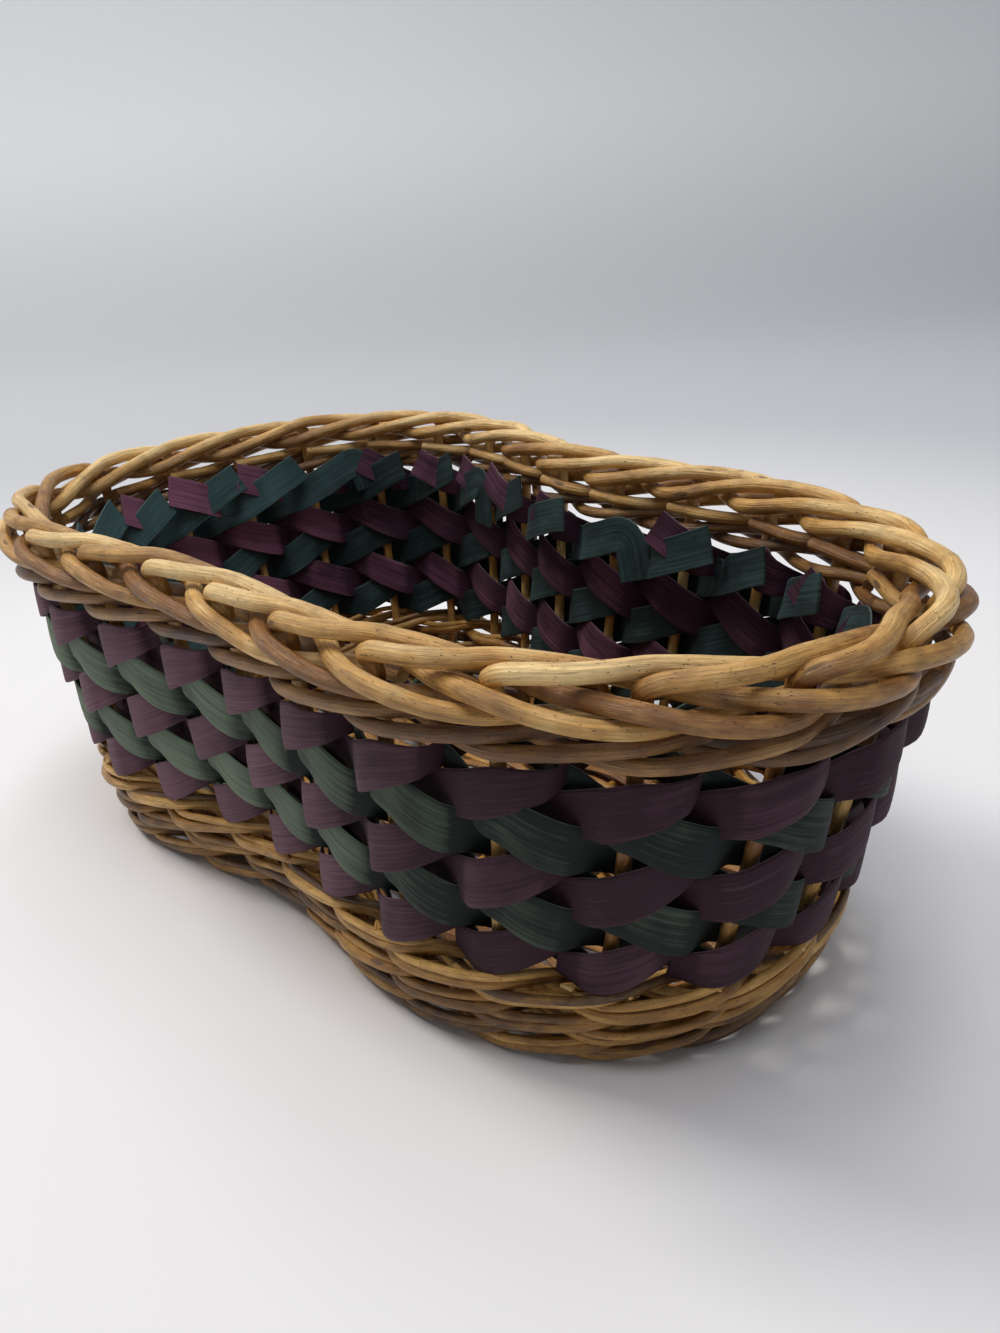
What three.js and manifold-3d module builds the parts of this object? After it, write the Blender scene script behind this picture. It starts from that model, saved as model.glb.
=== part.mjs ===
// A waisted woven basket. Willow stakes rise from a waled foot, pass through a plaited wall of
// wood splints and a band of waling, and roll over each other as the border.
// Millimetres, +Z up. The origin is on the surface that the basket stands on, under the middle
// of its box. +X runs along its length, towards the smaller lobe.

import * as THREE from "three";
import { mergeVertices } from "three/addons/utils/BufferGeometryUtils.js";
import Module from "manifold-3d";

const wasm = await Module();
wasm.setup();

// The outline of the wall's middle, at the crown of the border and on the surface below.
const rimHalfLength = 179;
const rimHalfWidth = 120;
const footHalfLength = 145;
const footHalfWidth = 101;
const footShift = -5;
const rimNearWaistShare = 0.21;
const rimFarWaistShare = 0.3;
const footNearWaistShare = 0.32;
const footFarWaistShare = 0.3;
const waistSpreadShare = 0.5;
const lobeTaperShare = 0.21;
const endRoundShare = 0.8;
const flareShare = 0.6;
const lobeCrowdShare = 0.03;

// Stakes and border rods.
const stakeCount = 27;
const stakeDiameter = 5;
const stakeFootHeight = 4;
const borderRodDiameter = 6.1;

// Splints.
const rowCount = 5;
const rowHeight = 15.6;
const splintWidth = 11.2;
const splintThickness = 0.9;
const splintBulge = 1;
const splintsPerTrio = 3;
const bondWidth = 1.6;

// Waling.
const upperRodDiameter = 4.7;
const footRodDiameters = [5, 5, 5];
const strandsPerWale = 3;
const outerBulge = 1.2;
const midBayShare = 0.2;
const footCut = 0.5;

// Base.
const baseLift = 0.4;
const stickDiameter = 3.4;
const longStickSpacing = 32;
const crossStickSpacing = 40;
const longSticksPerSide = 1;
const crossSticksPerSide = 3;
const baseRodsPerGap = 6;
const baseRodWidth = 3.9;
const baseRodThickness = 2.8;
const baseRodClearance = 0.6;
const baseEdgeThickness = 2.4;
const baseEdgeInset = 0.2;

const clearance = 0.3;
const stakeClearance = 1.5;
const rodClearance = 0.9;
const overrun = 2;

// How finely curves are cut up.
const rodSides = 5;
const stakeSides = 5;
const panelStepsPerBay = 2;
const uprightSteps = 4;
const outlineSteps = 4000;
const normalStepShare = 0.05;

const willow = { color: 0xa9793f, roughness: 0.62, metalness: 0 };
const darkWillow = { color: 0x8a5c2c, roughness: 0.66, metalness: 0 };
const purple = { color: 0x4c3346, roughness: 0.8, metalness: 0 };
const green = { color: 0x39483f, roughness: 0.8, metalness: 0 };

const fullTurn = 2 * Math.PI;

// The path of one border rod past its own stake, as bays along the rim, then reach outwards,
// drop below the crown and thickness, the last three as shares of the border rod's diameter.
const borderPathShares = [
  { bay: 0.1, reach: 0.21, drop: 2.16, thickness: 0.88 },
  { bay: 0.25, reach: 0.64, drop: 1.77, thickness: 0.94 },
  { bay: 0.5, reach: 0.98, drop: 1.38, thickness: 1 },
  { bay: 0.75, reach: 1.02, drop: 1.02, thickness: 1 },
  { bay: 1, reach: 0.82, drop: 0.7, thickness: 1 },
  { bay: 1.45, reach: 0.21, drop: 0.5, thickness: 1 },
  { bay: 2, reach: -0.39, drop: 0.56, thickness: 1 },
  { bay: 2.45, reach: -0.82, drop: 0.92, thickness: 1 },
  { bay: 2.75, reach: -0.95, drop: 1.28, thickness: 0.98 },
  { bay: 3, reach: -0.89, drop: 1.61, thickness: 0.96 },
  { bay: 3.25, reach: -0.56, drop: 1.8, thickness: 0.94 },
  { bay: 3.5, reach: 0.07, drop: 1.97, thickness: 0.9 },
  { bay: 3.75, reach: 0.66, drop: 2.16, thickness: 0.85 },
  { bay: 4, reach: 1.13, drop: 2.36, thickness: 0.8 },
  { bay: 4.3, reach: 1.38, drop: 2.49, thickness: 0.7 },
];
const uprightDropShare = 2.54;

// The path of a splint past a stake, as bays and as shares of its reach there. It passes stakes
// on the outer and the inner side by turns.
const climbingPathShares = [
  { bay: -0.15, reach: 1 },
  { bay: 0.15, reach: 1 },
  { bay: 0.35, reach: 0.42 },
  { bay: 0.62, reach: 0 },
];
const fallingPathShares = [
  { bay: -0.11, reach: 1 },
  { bay: 0.2, reach: 1.3 },
  { bay: 0.61, reach: 1.1 },
];
const bondSagShare = 0.14;

// Heights, stacked from the foot upwards.
function waleLift(rodDiameter) {
  return (rodDiameter + rodClearance) / 2;
}

function waleHeight(rodDiameter) {
  return 2 * waleLift(rodDiameter) + rodDiameter;
}

const footWales = [];
let stackTop = -footCut;
for (const rodDiameter of footRodDiameters) {
  const middle = stackTop + waleHeight(rodDiameter) / 2;
  footWales.push({ rodDiameter, middle });
  stackTop += waleHeight(rodDiameter) + clearance;
}
const wallBottom = stackTop;
const wallTop = wallBottom + rowCount * rowHeight;
const upperWaleMiddle = wallTop + clearance + waleHeight(upperRodDiameter) / 2;
const lastPlace = borderPathShares[borderPathShares.length - 1];
const borderHeight = borderRodDiameter * (lastPlace.drop + lastPlace.thickness / 2);
const upperWaleTop = upperWaleMiddle + waleHeight(upperRodDiameter) / 2;
const crownHeight = upperWaleTop + clearance + borderHeight;

// The outline of the wall.
const rimOutline = {
  halfLength: rimHalfLength,
  halfWidth: rimHalfWidth,
  nearWaistShare: rimNearWaistShare,
  farWaistShare: rimFarWaistShare,
  shift: 0,
};
const footOutline = {
  halfLength: footHalfLength,
  halfWidth: footHalfWidth,
  nearWaistShare: footNearWaistShare,
  farWaistShare: footFarWaistShare,
  shift: footShift,
};

function outlinePoint(outline, angle) {
  const along = Math.cos(angle);
  const across = Math.sin(angle);
  const waistShare = across < 0 ? outline.nearWaistShare : outline.farWaistShare;
  const waist = 1 - waistShare * Math.exp(-((along / waistSpreadShare) ** 2));
  const taper = 1 - lobeTaperShare * along;
  const round = Math.sign(across) * Math.abs(across) ** endRoundShare;
  const x = outline.halfLength * along + outline.shift;
  return new THREE.Vector2(x, outline.halfWidth * round * waist * taper);
}

// The angle on the outline at a number of bays. Half way up, the bays are of nearly equal length,
// a little shorter round the small lobe.
const lengthTable = [0];
let lastMiddle = null;
for (let step = 0; step <= outlineSteps; step += 1) {
  const angle = (fullTurn * step) / outlineSteps;
  const middle = outlinePoint(rimOutline, angle).lerp(outlinePoint(footOutline, angle), 1 / 2);
  const crowding = 1 + lobeCrowdShare * Math.cos(angle);
  if (lastMiddle) lengthTable.push(lengthTable[step - 1] + middle.distanceTo(lastMiddle) * crowding);
  lastMiddle = middle;
}
const middlePerimeter = lengthTable[outlineSteps];
const bayLength = middlePerimeter / stakeCount;

function angleAt(bays) {
  const length = THREE.MathUtils.euclideanModulo(bays, stakeCount) * bayLength;
  let low = 0;
  let high = outlineSteps;
  while (high - low > 1) {
    const half = Math.floor((low + high) / 2);
    if (lengthTable[half] > length) high = half;
    else low = half;
  }
  const part = (length - lengthTable[low]) / (lengthTable[high] - lengthTable[low]);
  return (fullTurn * (low + part)) / outlineSteps;
}

function wallMiddle(bays, height) {
  const angle = angleAt(bays);
  const rise = Math.max(height, 0) / crownHeight;
  return outlinePoint(footOutline, angle).lerp(outlinePoint(rimOutline, angle), rise ** flareShare);
}

function wallNormal(bays, height) {
  const before = wallMiddle(bays - normalStepShare, height);
  const after = wallMiddle(bays + normalStepShare, height);
  const along = after.sub(before).normalize();
  return new THREE.Vector3(along.y, -along.x, 0);
}

function wallPoint(bays, height, reach) {
  const middle = wallMiddle(bays, height);
  const point = new THREE.Vector3(middle.x, middle.y, height);
  return point.addScaledVector(wallNormal(bays, height), reach);
}

// How far the wall bows outwards, at a stake, from a straight line between places on it.
function chordSag(bays, height, halfBays) {
  const before = wallPoint(bays - halfBays, height, 0);
  const after = wallPoint(bays + halfBays, height, 0);
  const bow = wallPoint(bays, height, 0).sub(before.lerp(after, 1 / 2));
  return bow.dot(wallNormal(bays, height));
}

// Closed bodies from rings of points.
function bodyFromRings(rings, isLoop) {
  const positions = rings.flat().flatMap((point) => [point.x, point.y, point.z]);
  const sides = rings[0].length;
  const faces = [];
  const lastRing = isLoop ? rings.length : rings.length - 1;
  for (let ring = 0; ring < lastRing; ring += 1) {
    const next = (ring + 1) % rings.length;
    for (let side = 0; side < sides; side += 1) {
      const after = (side + 1) % sides;
      const a = ring * sides + side;
      const b = ring * sides + after;
      const c = next * sides + side;
      const d = next * sides + after;
      faces.push(a, d, b, a, c, d);
    }
  }
  if (!isLoop) {
    const top = (rings.length - 1) * sides;
    for (let side = 1; side < sides - 1; side += 1) {
      faces.push(0, side, side + 1, top, top + side + 1, top + side);
    }
  }
  const geometry = new THREE.BufferGeometry();
  geometry.setAttribute("position", new THREE.Float32BufferAttribute(positions, 3));
  geometry.setIndex(faces);
  return geometry;
}

// A rod through places on the wall, each with bays, height, reach and diameter.
function rod(places, sides, isLoop) {
  const points = places.map((place) => wallPoint(place.bays, place.height, place.reach));
  const count = points.length;
  const rings = places.map((place, index) => {
    const before = isLoop ? (index + count - 1) % count : Math.max(index - 1, 0);
    const after = isLoop ? (index + 1) % count : Math.min(index + 1, count - 1);
    const along = points[after].clone().sub(points[before]).normalize();
    const outward = wallNormal(place.bays, place.height);
    outward.addScaledVector(along, -outward.dot(along)).normalize();
    const upward = outward.clone().cross(along).normalize();
    const ring = [];
    for (let side = 0; side < sides; side += 1) {
      const turn = (fullTurn * side) / sides - Math.PI / 2;
      const point = points[index].clone();
      point.addScaledVector(outward, (Math.cos(turn) * place.diameter) / 2);
      point.addScaledVector(upward, (Math.sin(turn) * place.diameter) / 2);
      ring.push(point);
    }
    return ring;
  });
  return bodyFromRings(rings, isLoop);
}

// A flat strip on edge along the wall, each place with bays, low, high, reach and thickness.
function strip(places) {
  const rings = places.map((place) => {
    const outer = place.reach + place.thickness / 2;
    const inner = place.reach - place.thickness / 2;
    return [
      wallPoint(place.bays, place.low, inner),
      wallPoint(place.bays, place.low, outer),
      wallPoint(place.bays, place.high, outer),
      wallPoint(place.bays, place.high, inner),
    ];
  });
  return bodyFromRings(rings, false);
}

// Solids, for joins and cuts.
function solidFrom(geometry) {
  const bare = geometry.clone();
  bare.deleteAttribute("normal");
  bare.deleteAttribute("uv");
  const merged = mergeVertices(bare);
  return new wasm.Manifold(
    new wasm.Mesh({
      numProp: 3,
      vertProperties: new Float32Array(merged.getAttribute("position").array),
      triVerts: new Uint32Array(merged.getIndex().array),
    }),
  );
}

function geometryFrom(solid) {
  const mesh = solid.getMesh();
  const geometry = new THREE.BufferGeometry();
  geometry.setAttribute("position", new THREE.BufferAttribute(mesh.vertProperties, 3));
  geometry.setIndex(new THREE.BufferAttribute(mesh.triVerts, 1));
  return geometry;
}

function joined(geometries) {
  return geometries.map(solidFrom).reduce((whole, next) => whole.add(next));
}

// A stake: upright through foot, wall and upper wale, then over as one rod of the border.
function stakeGeometry(index) {
  const bend = crownHeight - uprightDropShare * borderRodDiameter;
  const places = [];
  for (let step = 0; step <= uprightSteps; step += 1) {
    const height = THREE.MathUtils.lerp(stakeFootHeight, bend, step / uprightSteps);
    places.push({ bays: index, height, reach: 0, diameter: stakeDiameter });
  }
  for (const place of borderPathShares) {
    places.push({
      bays: index + place.bay,
      height: crownHeight - place.drop * borderRodDiameter,
      reach: place.reach * borderRodDiameter,
      diameter: place.thickness * borderRodDiameter,
    });
  }
  return rod(places, stakeSides, false);
}

// One rod of a wale goes behind one stake, then in front of the next two, rising as it goes.
// Its places from stake to stake and half way between, as shares of its reach and its lift.
function waleRodGeometry(strand, rodDiameter, middle) {
  const frontReach = stakeDiameter / 2 + rodDiameter / 2 + stakeClearance;
  const lift = waleLift(rodDiameter);
  const round = [
    { reach: -frontReach, rise: 0 },
    { reach: -midBayShare * frontReach, rise: -lift },
    { reach: frontReach, rise: -lift },
    { reach: frontReach + outerBulge, rise: 0 },
    { reach: frontReach, rise: lift },
    { reach: -midBayShare * frontReach, rise: lift },
  ];
  const stepBays = strandsPerWale / round.length;
  const places = [];
  for (let step = 0; step < stakeCount / stepBays; step += 1) {
    const place = round[step % round.length];
    places.push({
      bays: strand + step * stepBays,
      height: middle + place.rise,
      reach: place.reach,
      diameter: rodDiameter,
    });
  }
  return rod(places, rodSides, true);
}

// The rods of the lowest wale are worn flat where they stand.
function standingRodGeometry(strand, rodDiameter, middle) {
  const slab = new THREE.BoxGeometry(4 * rimHalfLength, 4 * rimHalfWidth, 2 * footCut);
  slab.translate(0, 0, -footCut);
  const whole = solidFrom(waleRodGeometry(strand, rodDiameter, middle));
  return geometryFrom(whole.subtract(solidFrom(slab)));
}

// Splints. A purple one climbs one row per bay and passes outside a stake in the first, third and
// fifth rows. A green one falls one row per bay, half a row off, so that it covers the middle of
// a bay where purple covers a stake. Purple keeps the greater reach on both sides of the wall.
const splintRise = splintWidth * Math.hypot(1, rowHeight / bayLength);
const fallingReach = stakeDiameter / 2 + clearance + splintThickness / 2;
const climbingReach = fallingReach + splintBulge + splintThickness + clearance;

function splintHeight(firstBay, isClimbing, bays) {
  const rows = bays - firstBay;
  return isClimbing ? wallBottom + rowHeight * (rows + 1 / 2) : wallTop - rowHeight * rows;
}

function splintStops(firstBay, isClimbing) {
  const shares = isClimbing ? climbingPathShares : fallingPathShares;
  const fullReach = isClimbing ? climbingReach : fallingReach;
  const stops = [];
  for (let stake = -1; stake <= rowCount; stake += 1) {
    const isOuter = (stake % 2 === 0) === isClimbing;
    for (const share of shares) {
      const bays = firstBay + stake + share.bay;
      const height = splintHeight(firstBay, isClimbing, bays);
      const isInWall = height + splintRise / 4 > wallBottom && height - splintRise / 4 < wallTop;
      const reach = (isOuter ? 1 : -1) * share.reach * fullReach;
      if (isInWall) stops.push({ bays, height, reach });
    }
  }
  return stops;
}

function splintGeometry(firstBay, isClimbing) {
  const places = splintStops(firstBay, isClimbing).map(({ bays, height, reach }) => ({
    bays,
    low: Math.max(height - splintRise / 2, wallBottom),
    high: Math.min(height + splintRise / 2, wallTop),
    reach,
    thickness: splintThickness,
  }));
  return strip(places);
}

function splintReach(firstBay, isClimbing, bays) {
  const stops = splintStops(firstBay, isClimbing);
  const after = stops.findIndex((stop) => stop.bays > bays);
  const before = after - 1;
  const part = (bays - stops[before].bays) / (stops[after].bays - stops[before].bays);
  return THREE.MathUtils.lerp(stops[before].reach, stops[after].reach, part);
}

// Splints are held in trios: one bears on two that run the other way, at the crossings just
// before two stakes, a little below and a little above the middle of the wall.
function bondGeometry(climbingBay, fallingBay) {
  const bays = (rowCount - 1 / 2 + climbingBay + fallingBay) / 2;
  const height = splintHeight(fallingBay, false, bays);
  const halfBays = bondWidth / 2 / bayLength;
  const places = [-halfBays, halfBays].map((offset) => {
    const climbing = splintReach(climbingBay, true, bays + offset);
    const falling = splintReach(fallingBay, false, bays + offset);
    return {
      bays: bays + offset,
      low: height - bondWidth / 2,
      high: height + bondWidth / 2,
      reach: (climbing + falling) / 2 - chordSag(bays, height, bondSagShare),
      thickness: Math.abs(climbing - falling),
    };
  });
  return strip(places);
}

function trioSolid(firstBay, isClimbing) {
  const parts = [splintGeometry(firstBay, isClimbing)];
  for (const neighbour of [firstBay - 1, firstBay + 1]) {
    const climbingBay = isClimbing ? firstBay : neighbour;
    const fallingBay = isClimbing ? neighbour : firstBay;
    parts.push(splintGeometry(neighbour, !isClimbing));
    parts.push(bondGeometry(climbingBay, fallingBay));
  }
  return joined(parts);
}

// The base, inside the lowest wale: cross sticks pierced by long ones, rods woven lengthwise
// over and under the cross sticks, and an edge that holds their ends.
const baseSwing = (stickDiameter + baseRodThickness) / 2 + baseRodClearance;
const baseMiddle = baseLift + baseRodThickness / 2 + baseSwing;
const baseTop = baseMiddle + baseSwing + baseRodThickness / 2;
const basePitch = longStickSpacing / (baseRodsPerGap + 1);
const edgeOuterReach = stakeDiameter / 2 + stakeClearance + footRodDiameters[0] + clearance;

function baseRoom(inset) {
  const points = [];
  for (let step = 0; step < stakeCount * panelStepsPerBay; step += 1) {
    const point = wallPoint(step / panelStepsPerBay, baseMiddle, -(edgeOuterReach + inset));
    points.push(new THREE.Vector2(point.x, point.y));
  }
  const options = { depth: baseTop + overrun, bevelEnabled: false };
  return solidFrom(new THREE.ExtrudeGeometry(new THREE.Shape(points), options));
}

function baseEdgeGeometry() {
  const rings = [];
  const inner = -(edgeOuterReach + baseEdgeThickness);
  const low = baseLift + baseEdgeInset;
  const high = baseTop - baseEdgeInset;
  for (let step = 0; step < stakeCount * panelStepsPerBay; step += 1) {
    const bays = step / panelStepsPerBay;
    const innerPoint = wallPoint(bays, baseMiddle, inner);
    const outerPoint = wallPoint(bays, baseMiddle, -edgeOuterReach);
    rings.push([
      innerPoint.clone().setZ(low),
      outerPoint.clone().setZ(low),
      outerPoint.clone().setZ(high),
      innerPoint.clone().setZ(high),
    ]);
  }
  return bodyFromRings(rings, true);
}

function baseRodGeometry(row) {
  const rings = [];
  const lastStick = Math.ceil(footHalfLength / crossStickSpacing) + 1;
  for (let stick = -lastStick; stick <= lastStick; stick += 1) {
    const x = stick * crossStickSpacing + footShift;
    const isAbove = (row + stick) % 2 === 0;
    const z = baseMiddle + (isAbove ? baseSwing : -baseSwing);
    const y = row * basePitch;
    const halfWidth = baseRodWidth / 2;
    const halfThickness = baseRodThickness / 2;
    rings.push([
      new THREE.Vector3(x, y + halfWidth, z - halfThickness),
      new THREE.Vector3(x, y - halfWidth, z - halfThickness),
      new THREE.Vector3(x, y - halfWidth, z + halfThickness),
      new THREE.Vector3(x, y + halfWidth, z + halfThickness),
    ]);
  }
  return bodyFromRings(rings, false);
}

function baseWeaveSolid() {
  const rods = [];
  const lastRow = Math.floor(rimHalfWidth / basePitch);
  for (let row = -lastRow; row <= lastRow; row += 1) {
    const gap = row / (baseRodsPerGap + 1);
    const isLongStick = Number.isInteger(gap) && Math.abs(gap) <= longSticksPerSide;
    if (!isLongStick) rods.push(solidFrom(baseRodGeometry(row)));
  }
  const whole = rods.reduce((weave, next) => weave.add(next));
  return whole.intersect(baseRoom(baseEdgeThickness / 2)).add(solidFrom(baseEdgeGeometry()));
}

function stickGeometry(length, isCross, offset) {
  const radius = stickDiameter / 2;
  const geometry = new THREE.CylinderGeometry(radius, radius, length, stakeSides);
  if (!isCross) geometry.rotateZ(Math.PI / 2);
  const x = isCross ? offset + footShift : 0;
  const y = isCross ? 0 : offset;
  geometry.translate(x, y, baseMiddle);
  return geometry;
}

function baseSticksSolid() {
  const sticks = [];
  for (let place = -longSticksPerSide; place <= longSticksPerSide; place += 1) {
    sticks.push(stickGeometry(2 * rimHalfLength, false, place * longStickSpacing));
  }
  for (let place = -crossSticksPerSide; place <= crossSticksPerSide; place += 1) {
    sticks.push(stickGeometry(2 * rimHalfWidth, true, place * crossStickSpacing));
  }
  return joined(sticks).intersect(baseRoom(baseEdgeThickness + clearance));
}

// The assembly.
const basket = new THREE.Group();

function addPiece(name, geometry, finish) {
  const mesh = new THREE.Mesh(geometry, new THREE.MeshStandardMaterial(finish));
  mesh.name = name;
  basket.add(mesh);
}

function numbered(name, index) {
  return `${name}_${String(index + 1).padStart(2, "0")}`;
}

addPiece("base_sticks", geometryFrom(baseSticksSolid()), darkWillow);
addPiece("base_panel", geometryFrom(baseWeaveSolid()), willow);

footWales.forEach(({ rodDiameter, middle }, level) => {
  const build = level === 0 ? standingRodGeometry : waleRodGeometry;
  for (let strand = 0; strand < strandsPerWale; strand += 1) {
    const name = numbered(`foot_wale_${level + 1}_rod`, strand);
    addPiece(name, build(strand, rodDiameter, middle), darkWillow);
  }
});
for (let strand = 0; strand < strandsPerWale; strand += 1) {
  const geometry = waleRodGeometry(strand, upperRodDiameter, upperWaleMiddle);
  addPiece(numbered("upper_wale_rod", strand), geometry, willow);
}
for (let index = 0; index < stakeCount; index += 1) {
  addPiece(numbered("stake", index), stakeGeometry(index), willow);
}
for (let trio = 0; trio < stakeCount / splintsPerTrio; trio += 1) {
  const purpleTrio = trioSolid(trio * splintsPerTrio, true);
  const greenTrio = trioSolid(trio * splintsPerTrio, false);
  addPiece(numbered("splint_trio_purple", trio), geometryFrom(purpleTrio), purple);
  addPiece(numbered("splint_trio_green", trio), geometryFrom(greenTrio), green);
}

// The middle of the basket's box stands over the origin.
const box = new THREE.Box3().setFromObject(basket);
const middle = box.getCenter(new THREE.Vector3());
basket.position.set(-middle.x, -middle.y, 0);

const group = new THREE.Group();
group.add(basket);

export default group;
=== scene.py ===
"""A waisted woven basket: willow stakes and border, waled foot, and a wall of dyed splints.

Sizes in the classes are millimetres and become metres where a mesh is made. Places on the wall
are given as bays (stake to stake, counterclockwise seen from above, from the small lobe's tip),
height above the floor, and reach outwards from the wall's middle.
"""

import logging
import math
from dataclasses import dataclass
from enum import Enum
from typing import Dict, List, Optional, Sequence, Tuple, Union

import bpy
import numpy as np
from mathutils import Matrix, Vector


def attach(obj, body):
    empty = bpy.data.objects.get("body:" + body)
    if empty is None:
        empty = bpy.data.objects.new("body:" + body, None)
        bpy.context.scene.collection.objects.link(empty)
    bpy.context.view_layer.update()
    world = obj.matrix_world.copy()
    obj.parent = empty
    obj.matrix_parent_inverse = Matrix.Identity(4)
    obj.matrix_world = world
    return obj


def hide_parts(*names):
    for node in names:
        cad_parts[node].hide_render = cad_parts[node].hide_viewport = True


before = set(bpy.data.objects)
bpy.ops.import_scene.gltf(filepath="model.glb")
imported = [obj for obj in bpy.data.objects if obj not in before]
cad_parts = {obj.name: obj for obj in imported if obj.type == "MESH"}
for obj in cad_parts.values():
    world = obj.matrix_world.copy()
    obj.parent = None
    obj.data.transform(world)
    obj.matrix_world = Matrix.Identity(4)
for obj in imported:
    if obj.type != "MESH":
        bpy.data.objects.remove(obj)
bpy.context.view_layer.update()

MM = 0.001
CHANCE_SEED = 27
# Each piece takes its grain from another stretch of one long pattern, up to so many metres on.
GRAIN_SHIFT = 40.0
LOG = logging.getLogger("basket")
Array = np.ndarray
Numbers = Union[float, np.ndarray]
Place = Tuple[float, float, float]
Socket = bpy.types.NodeSocket


# Small helpers


def paint(code: str) -> Tuple[float, float, float, float]:
    """Turn a display colour into a scene colour.

    Args:
        code: Six hexadecimal digits, red first.

    Returns:
        Linear red, green, blue and a full alpha.
    """
    parts = [int(code[place : place + 2], 16) / 255 for place in (0, 2, 4)]
    linear = [c / 12.92 if c <= 0.04045 else ((c + 0.055) / 1.055) ** 2.4 for c in parts]
    return (*linear, 1.0)


def glide(stops: Array, values: Array, at: Array) -> Array:
    """Run a smooth curve through values.

    Args:
        stops: Rising places of the values.
        values: One value, or one row of values, for each stop.
        at: The places wanted.

    Returns:
        The values at those places.
    """
    slopes = np.gradient(values, stops, axis=0)
    left = np.clip(np.searchsorted(stops, at, side="right") - 1, 0, len(stops) - 2)
    span = stops[left + 1] - stops[left]
    part = (at - stops[left]) / span
    if values.ndim > 1:
        span, part = span[:, None], part[:, None]
    return (
        (2 * part**3 - 3 * part**2 + 1) * values[left]
        + (part**3 - 2 * part**2 + part) * span * slopes[left]
        + (3 * part**2 - 2 * part**3) * values[left + 1]
        + (part**3 - part**2) * span * slopes[left + 1]
    )


def wander(rng: np.random.Generator, count: int, spacing: float, size: float) -> Array:
    """Make a slow random drift along a piece.

    Args:
        rng: The source of chance.
        count: How many samples the piece has.
        spacing: How many samples lie between two free values.
        size: The usual size of the drift.

    Returns:
        One drift value for each sample.
    """
    knots = max(4, int(count / spacing) + 2)
    values = rng.normal(0, size, knots)
    return glide(np.linspace(0, count - 1, knots), values, np.arange(count, dtype=float))


class Graph:
    """Adds nodes to a tree and links them, a line each."""

    def __init__(self, tree: bpy.types.NodeTree) -> None:
        """Start on an emptied tree."""
        self.tree = tree
        tree.nodes.clear()

    def add(self, kind: str, inputs: Optional[dict] = None, **settings: object) -> bpy.types.Node:
        """Add one node.

        Args:
            kind: The node's class name.
            inputs: Socket name or number to a value, or to another node's output.
            **settings: The node's own properties.

        Returns:
            The new node.
        """
        node = self.tree.nodes.new(kind)
        for name, value in settings.items():
            setattr(node, name, value)
        for name, value in (inputs or {}).items():
            socket = node.inputs[name]
            if isinstance(value, Socket):
                self.tree.links.new(value, socket)
            else:
                socket.default_value = value
        return node

    def math(self, operation: str, *values: object) -> Socket:
        """Add one step of arithmetic and return its output."""
        kind = "ShaderNodeMath"
        return self.add(kind, dict(enumerate(values)), operation=operation).outputs[0]

    def vector(self, operation: str, *values: object) -> Socket:
        """Add one step of arithmetic on vectors.

        Args:
            operation: What it does, as Blender names it.
            *values: Its vectors, or a vector and a number to scale it by.

        Returns:
            Its output.
        """
        inputs = dict(enumerate(values))
        if operation == "SCALE":
            inputs = {"Vector": values[0], "Scale": values[1]}
        return self.add("ShaderNodeVectorMath", inputs, operation=operation).outputs[0]

    def mix(self, factor: object, first: object, second: object) -> Socket:
        """Add a blend of two colours, from the first to the second, and return its output."""
        inputs = {0: factor, 6: first, 7: second}
        return self.add("ShaderNodeMix", inputs, data_type="RGBA").outputs[2]

    def fade(self, value: object, start: float, end: float) -> Socket:
        """Map a value to 0 at its start and 1 at its end, and return that."""
        inputs = {"Value": value, "From Min": start, "From Max": end}
        return self.add("ShaderNodeMapRange", inputs, interpolation_type="SMOOTHSTEP").outputs[0]

    def attribute(self, name: str, output: str = "Fac") -> Socket:
        """Read one of the piece's own attributes."""
        return self.add("ShaderNodeAttribute", attribute_name=name).outputs[output]

    def noise(self, place: object, repeats: Place, **settings: float) -> Socket:
        """Add noise that repeats along each axis of a place.

        Args:
            place: The vector that the noise reads.
            repeats: How often it repeats in a metre, along each axis.
            **settings: The noise's other inputs.

        Returns:
            The noise, about a half on average.
        """
        inputs = {"Vector": self.vector("MULTIPLY", place, repeats), "Scale": 1.0, **settings}
        return self.add("ShaderNodeTexNoise", inputs).outputs["Fac"]

    def ramp(self, value: object, colours: Dict[float, str]) -> Socket:
        """Add a run of colours.

        Args:
            value: Where on the run to read.
            colours: Each place on the run, rising, and its display colour.

        Returns:
            The colour there.
        """
        node = self.add("ShaderNodeValToRGB", {"Fac": value})
        stops = node.color_ramp.elements
        for _ in range(len(colours) - len(stops)):
            stops.new(0.5)
        for stop, (place, colour) in zip(stops, colours.items()):
            stop.position, stop.color = place, paint(colour)
        return node.outputs["Color"]

    def bump(self, height: object, strength: float, depth: float) -> Socket:
        """Add relief from a height, as deep as given in metres, and return the normal."""
        inputs = {"Strength": strength, "Distance": depth, "Height": height}
        return self.add("ShaderNodeBump", inputs).outputs["Normal"]

    def surface(self, inputs: dict) -> None:
        """Add the shader with its inputs, and the material's output."""
        shader = self.add("ShaderNodeBsdfPrincipled", inputs)
        self.add("ShaderNodeOutputMaterial", {"Surface": shader.outputs[0]})


def blank_material(name: str) -> Tuple[bpy.types.Material, Graph]:
    """Make a material with no nodes yet.

    Args:
        name: The material's name.

    Returns:
        The material, and the graph that fills it.
    """
    material = bpy.data.materials.new(name)
    material.use_nodes = True
    return material, Graph(material.node_tree)


# The wall that everything is woven on


@dataclass(frozen=True)
class Loop:
    """A level outline of the wall."""

    half_length: float
    half_width: float
    near_waist: float
    far_waist: float
    shift: float


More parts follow.
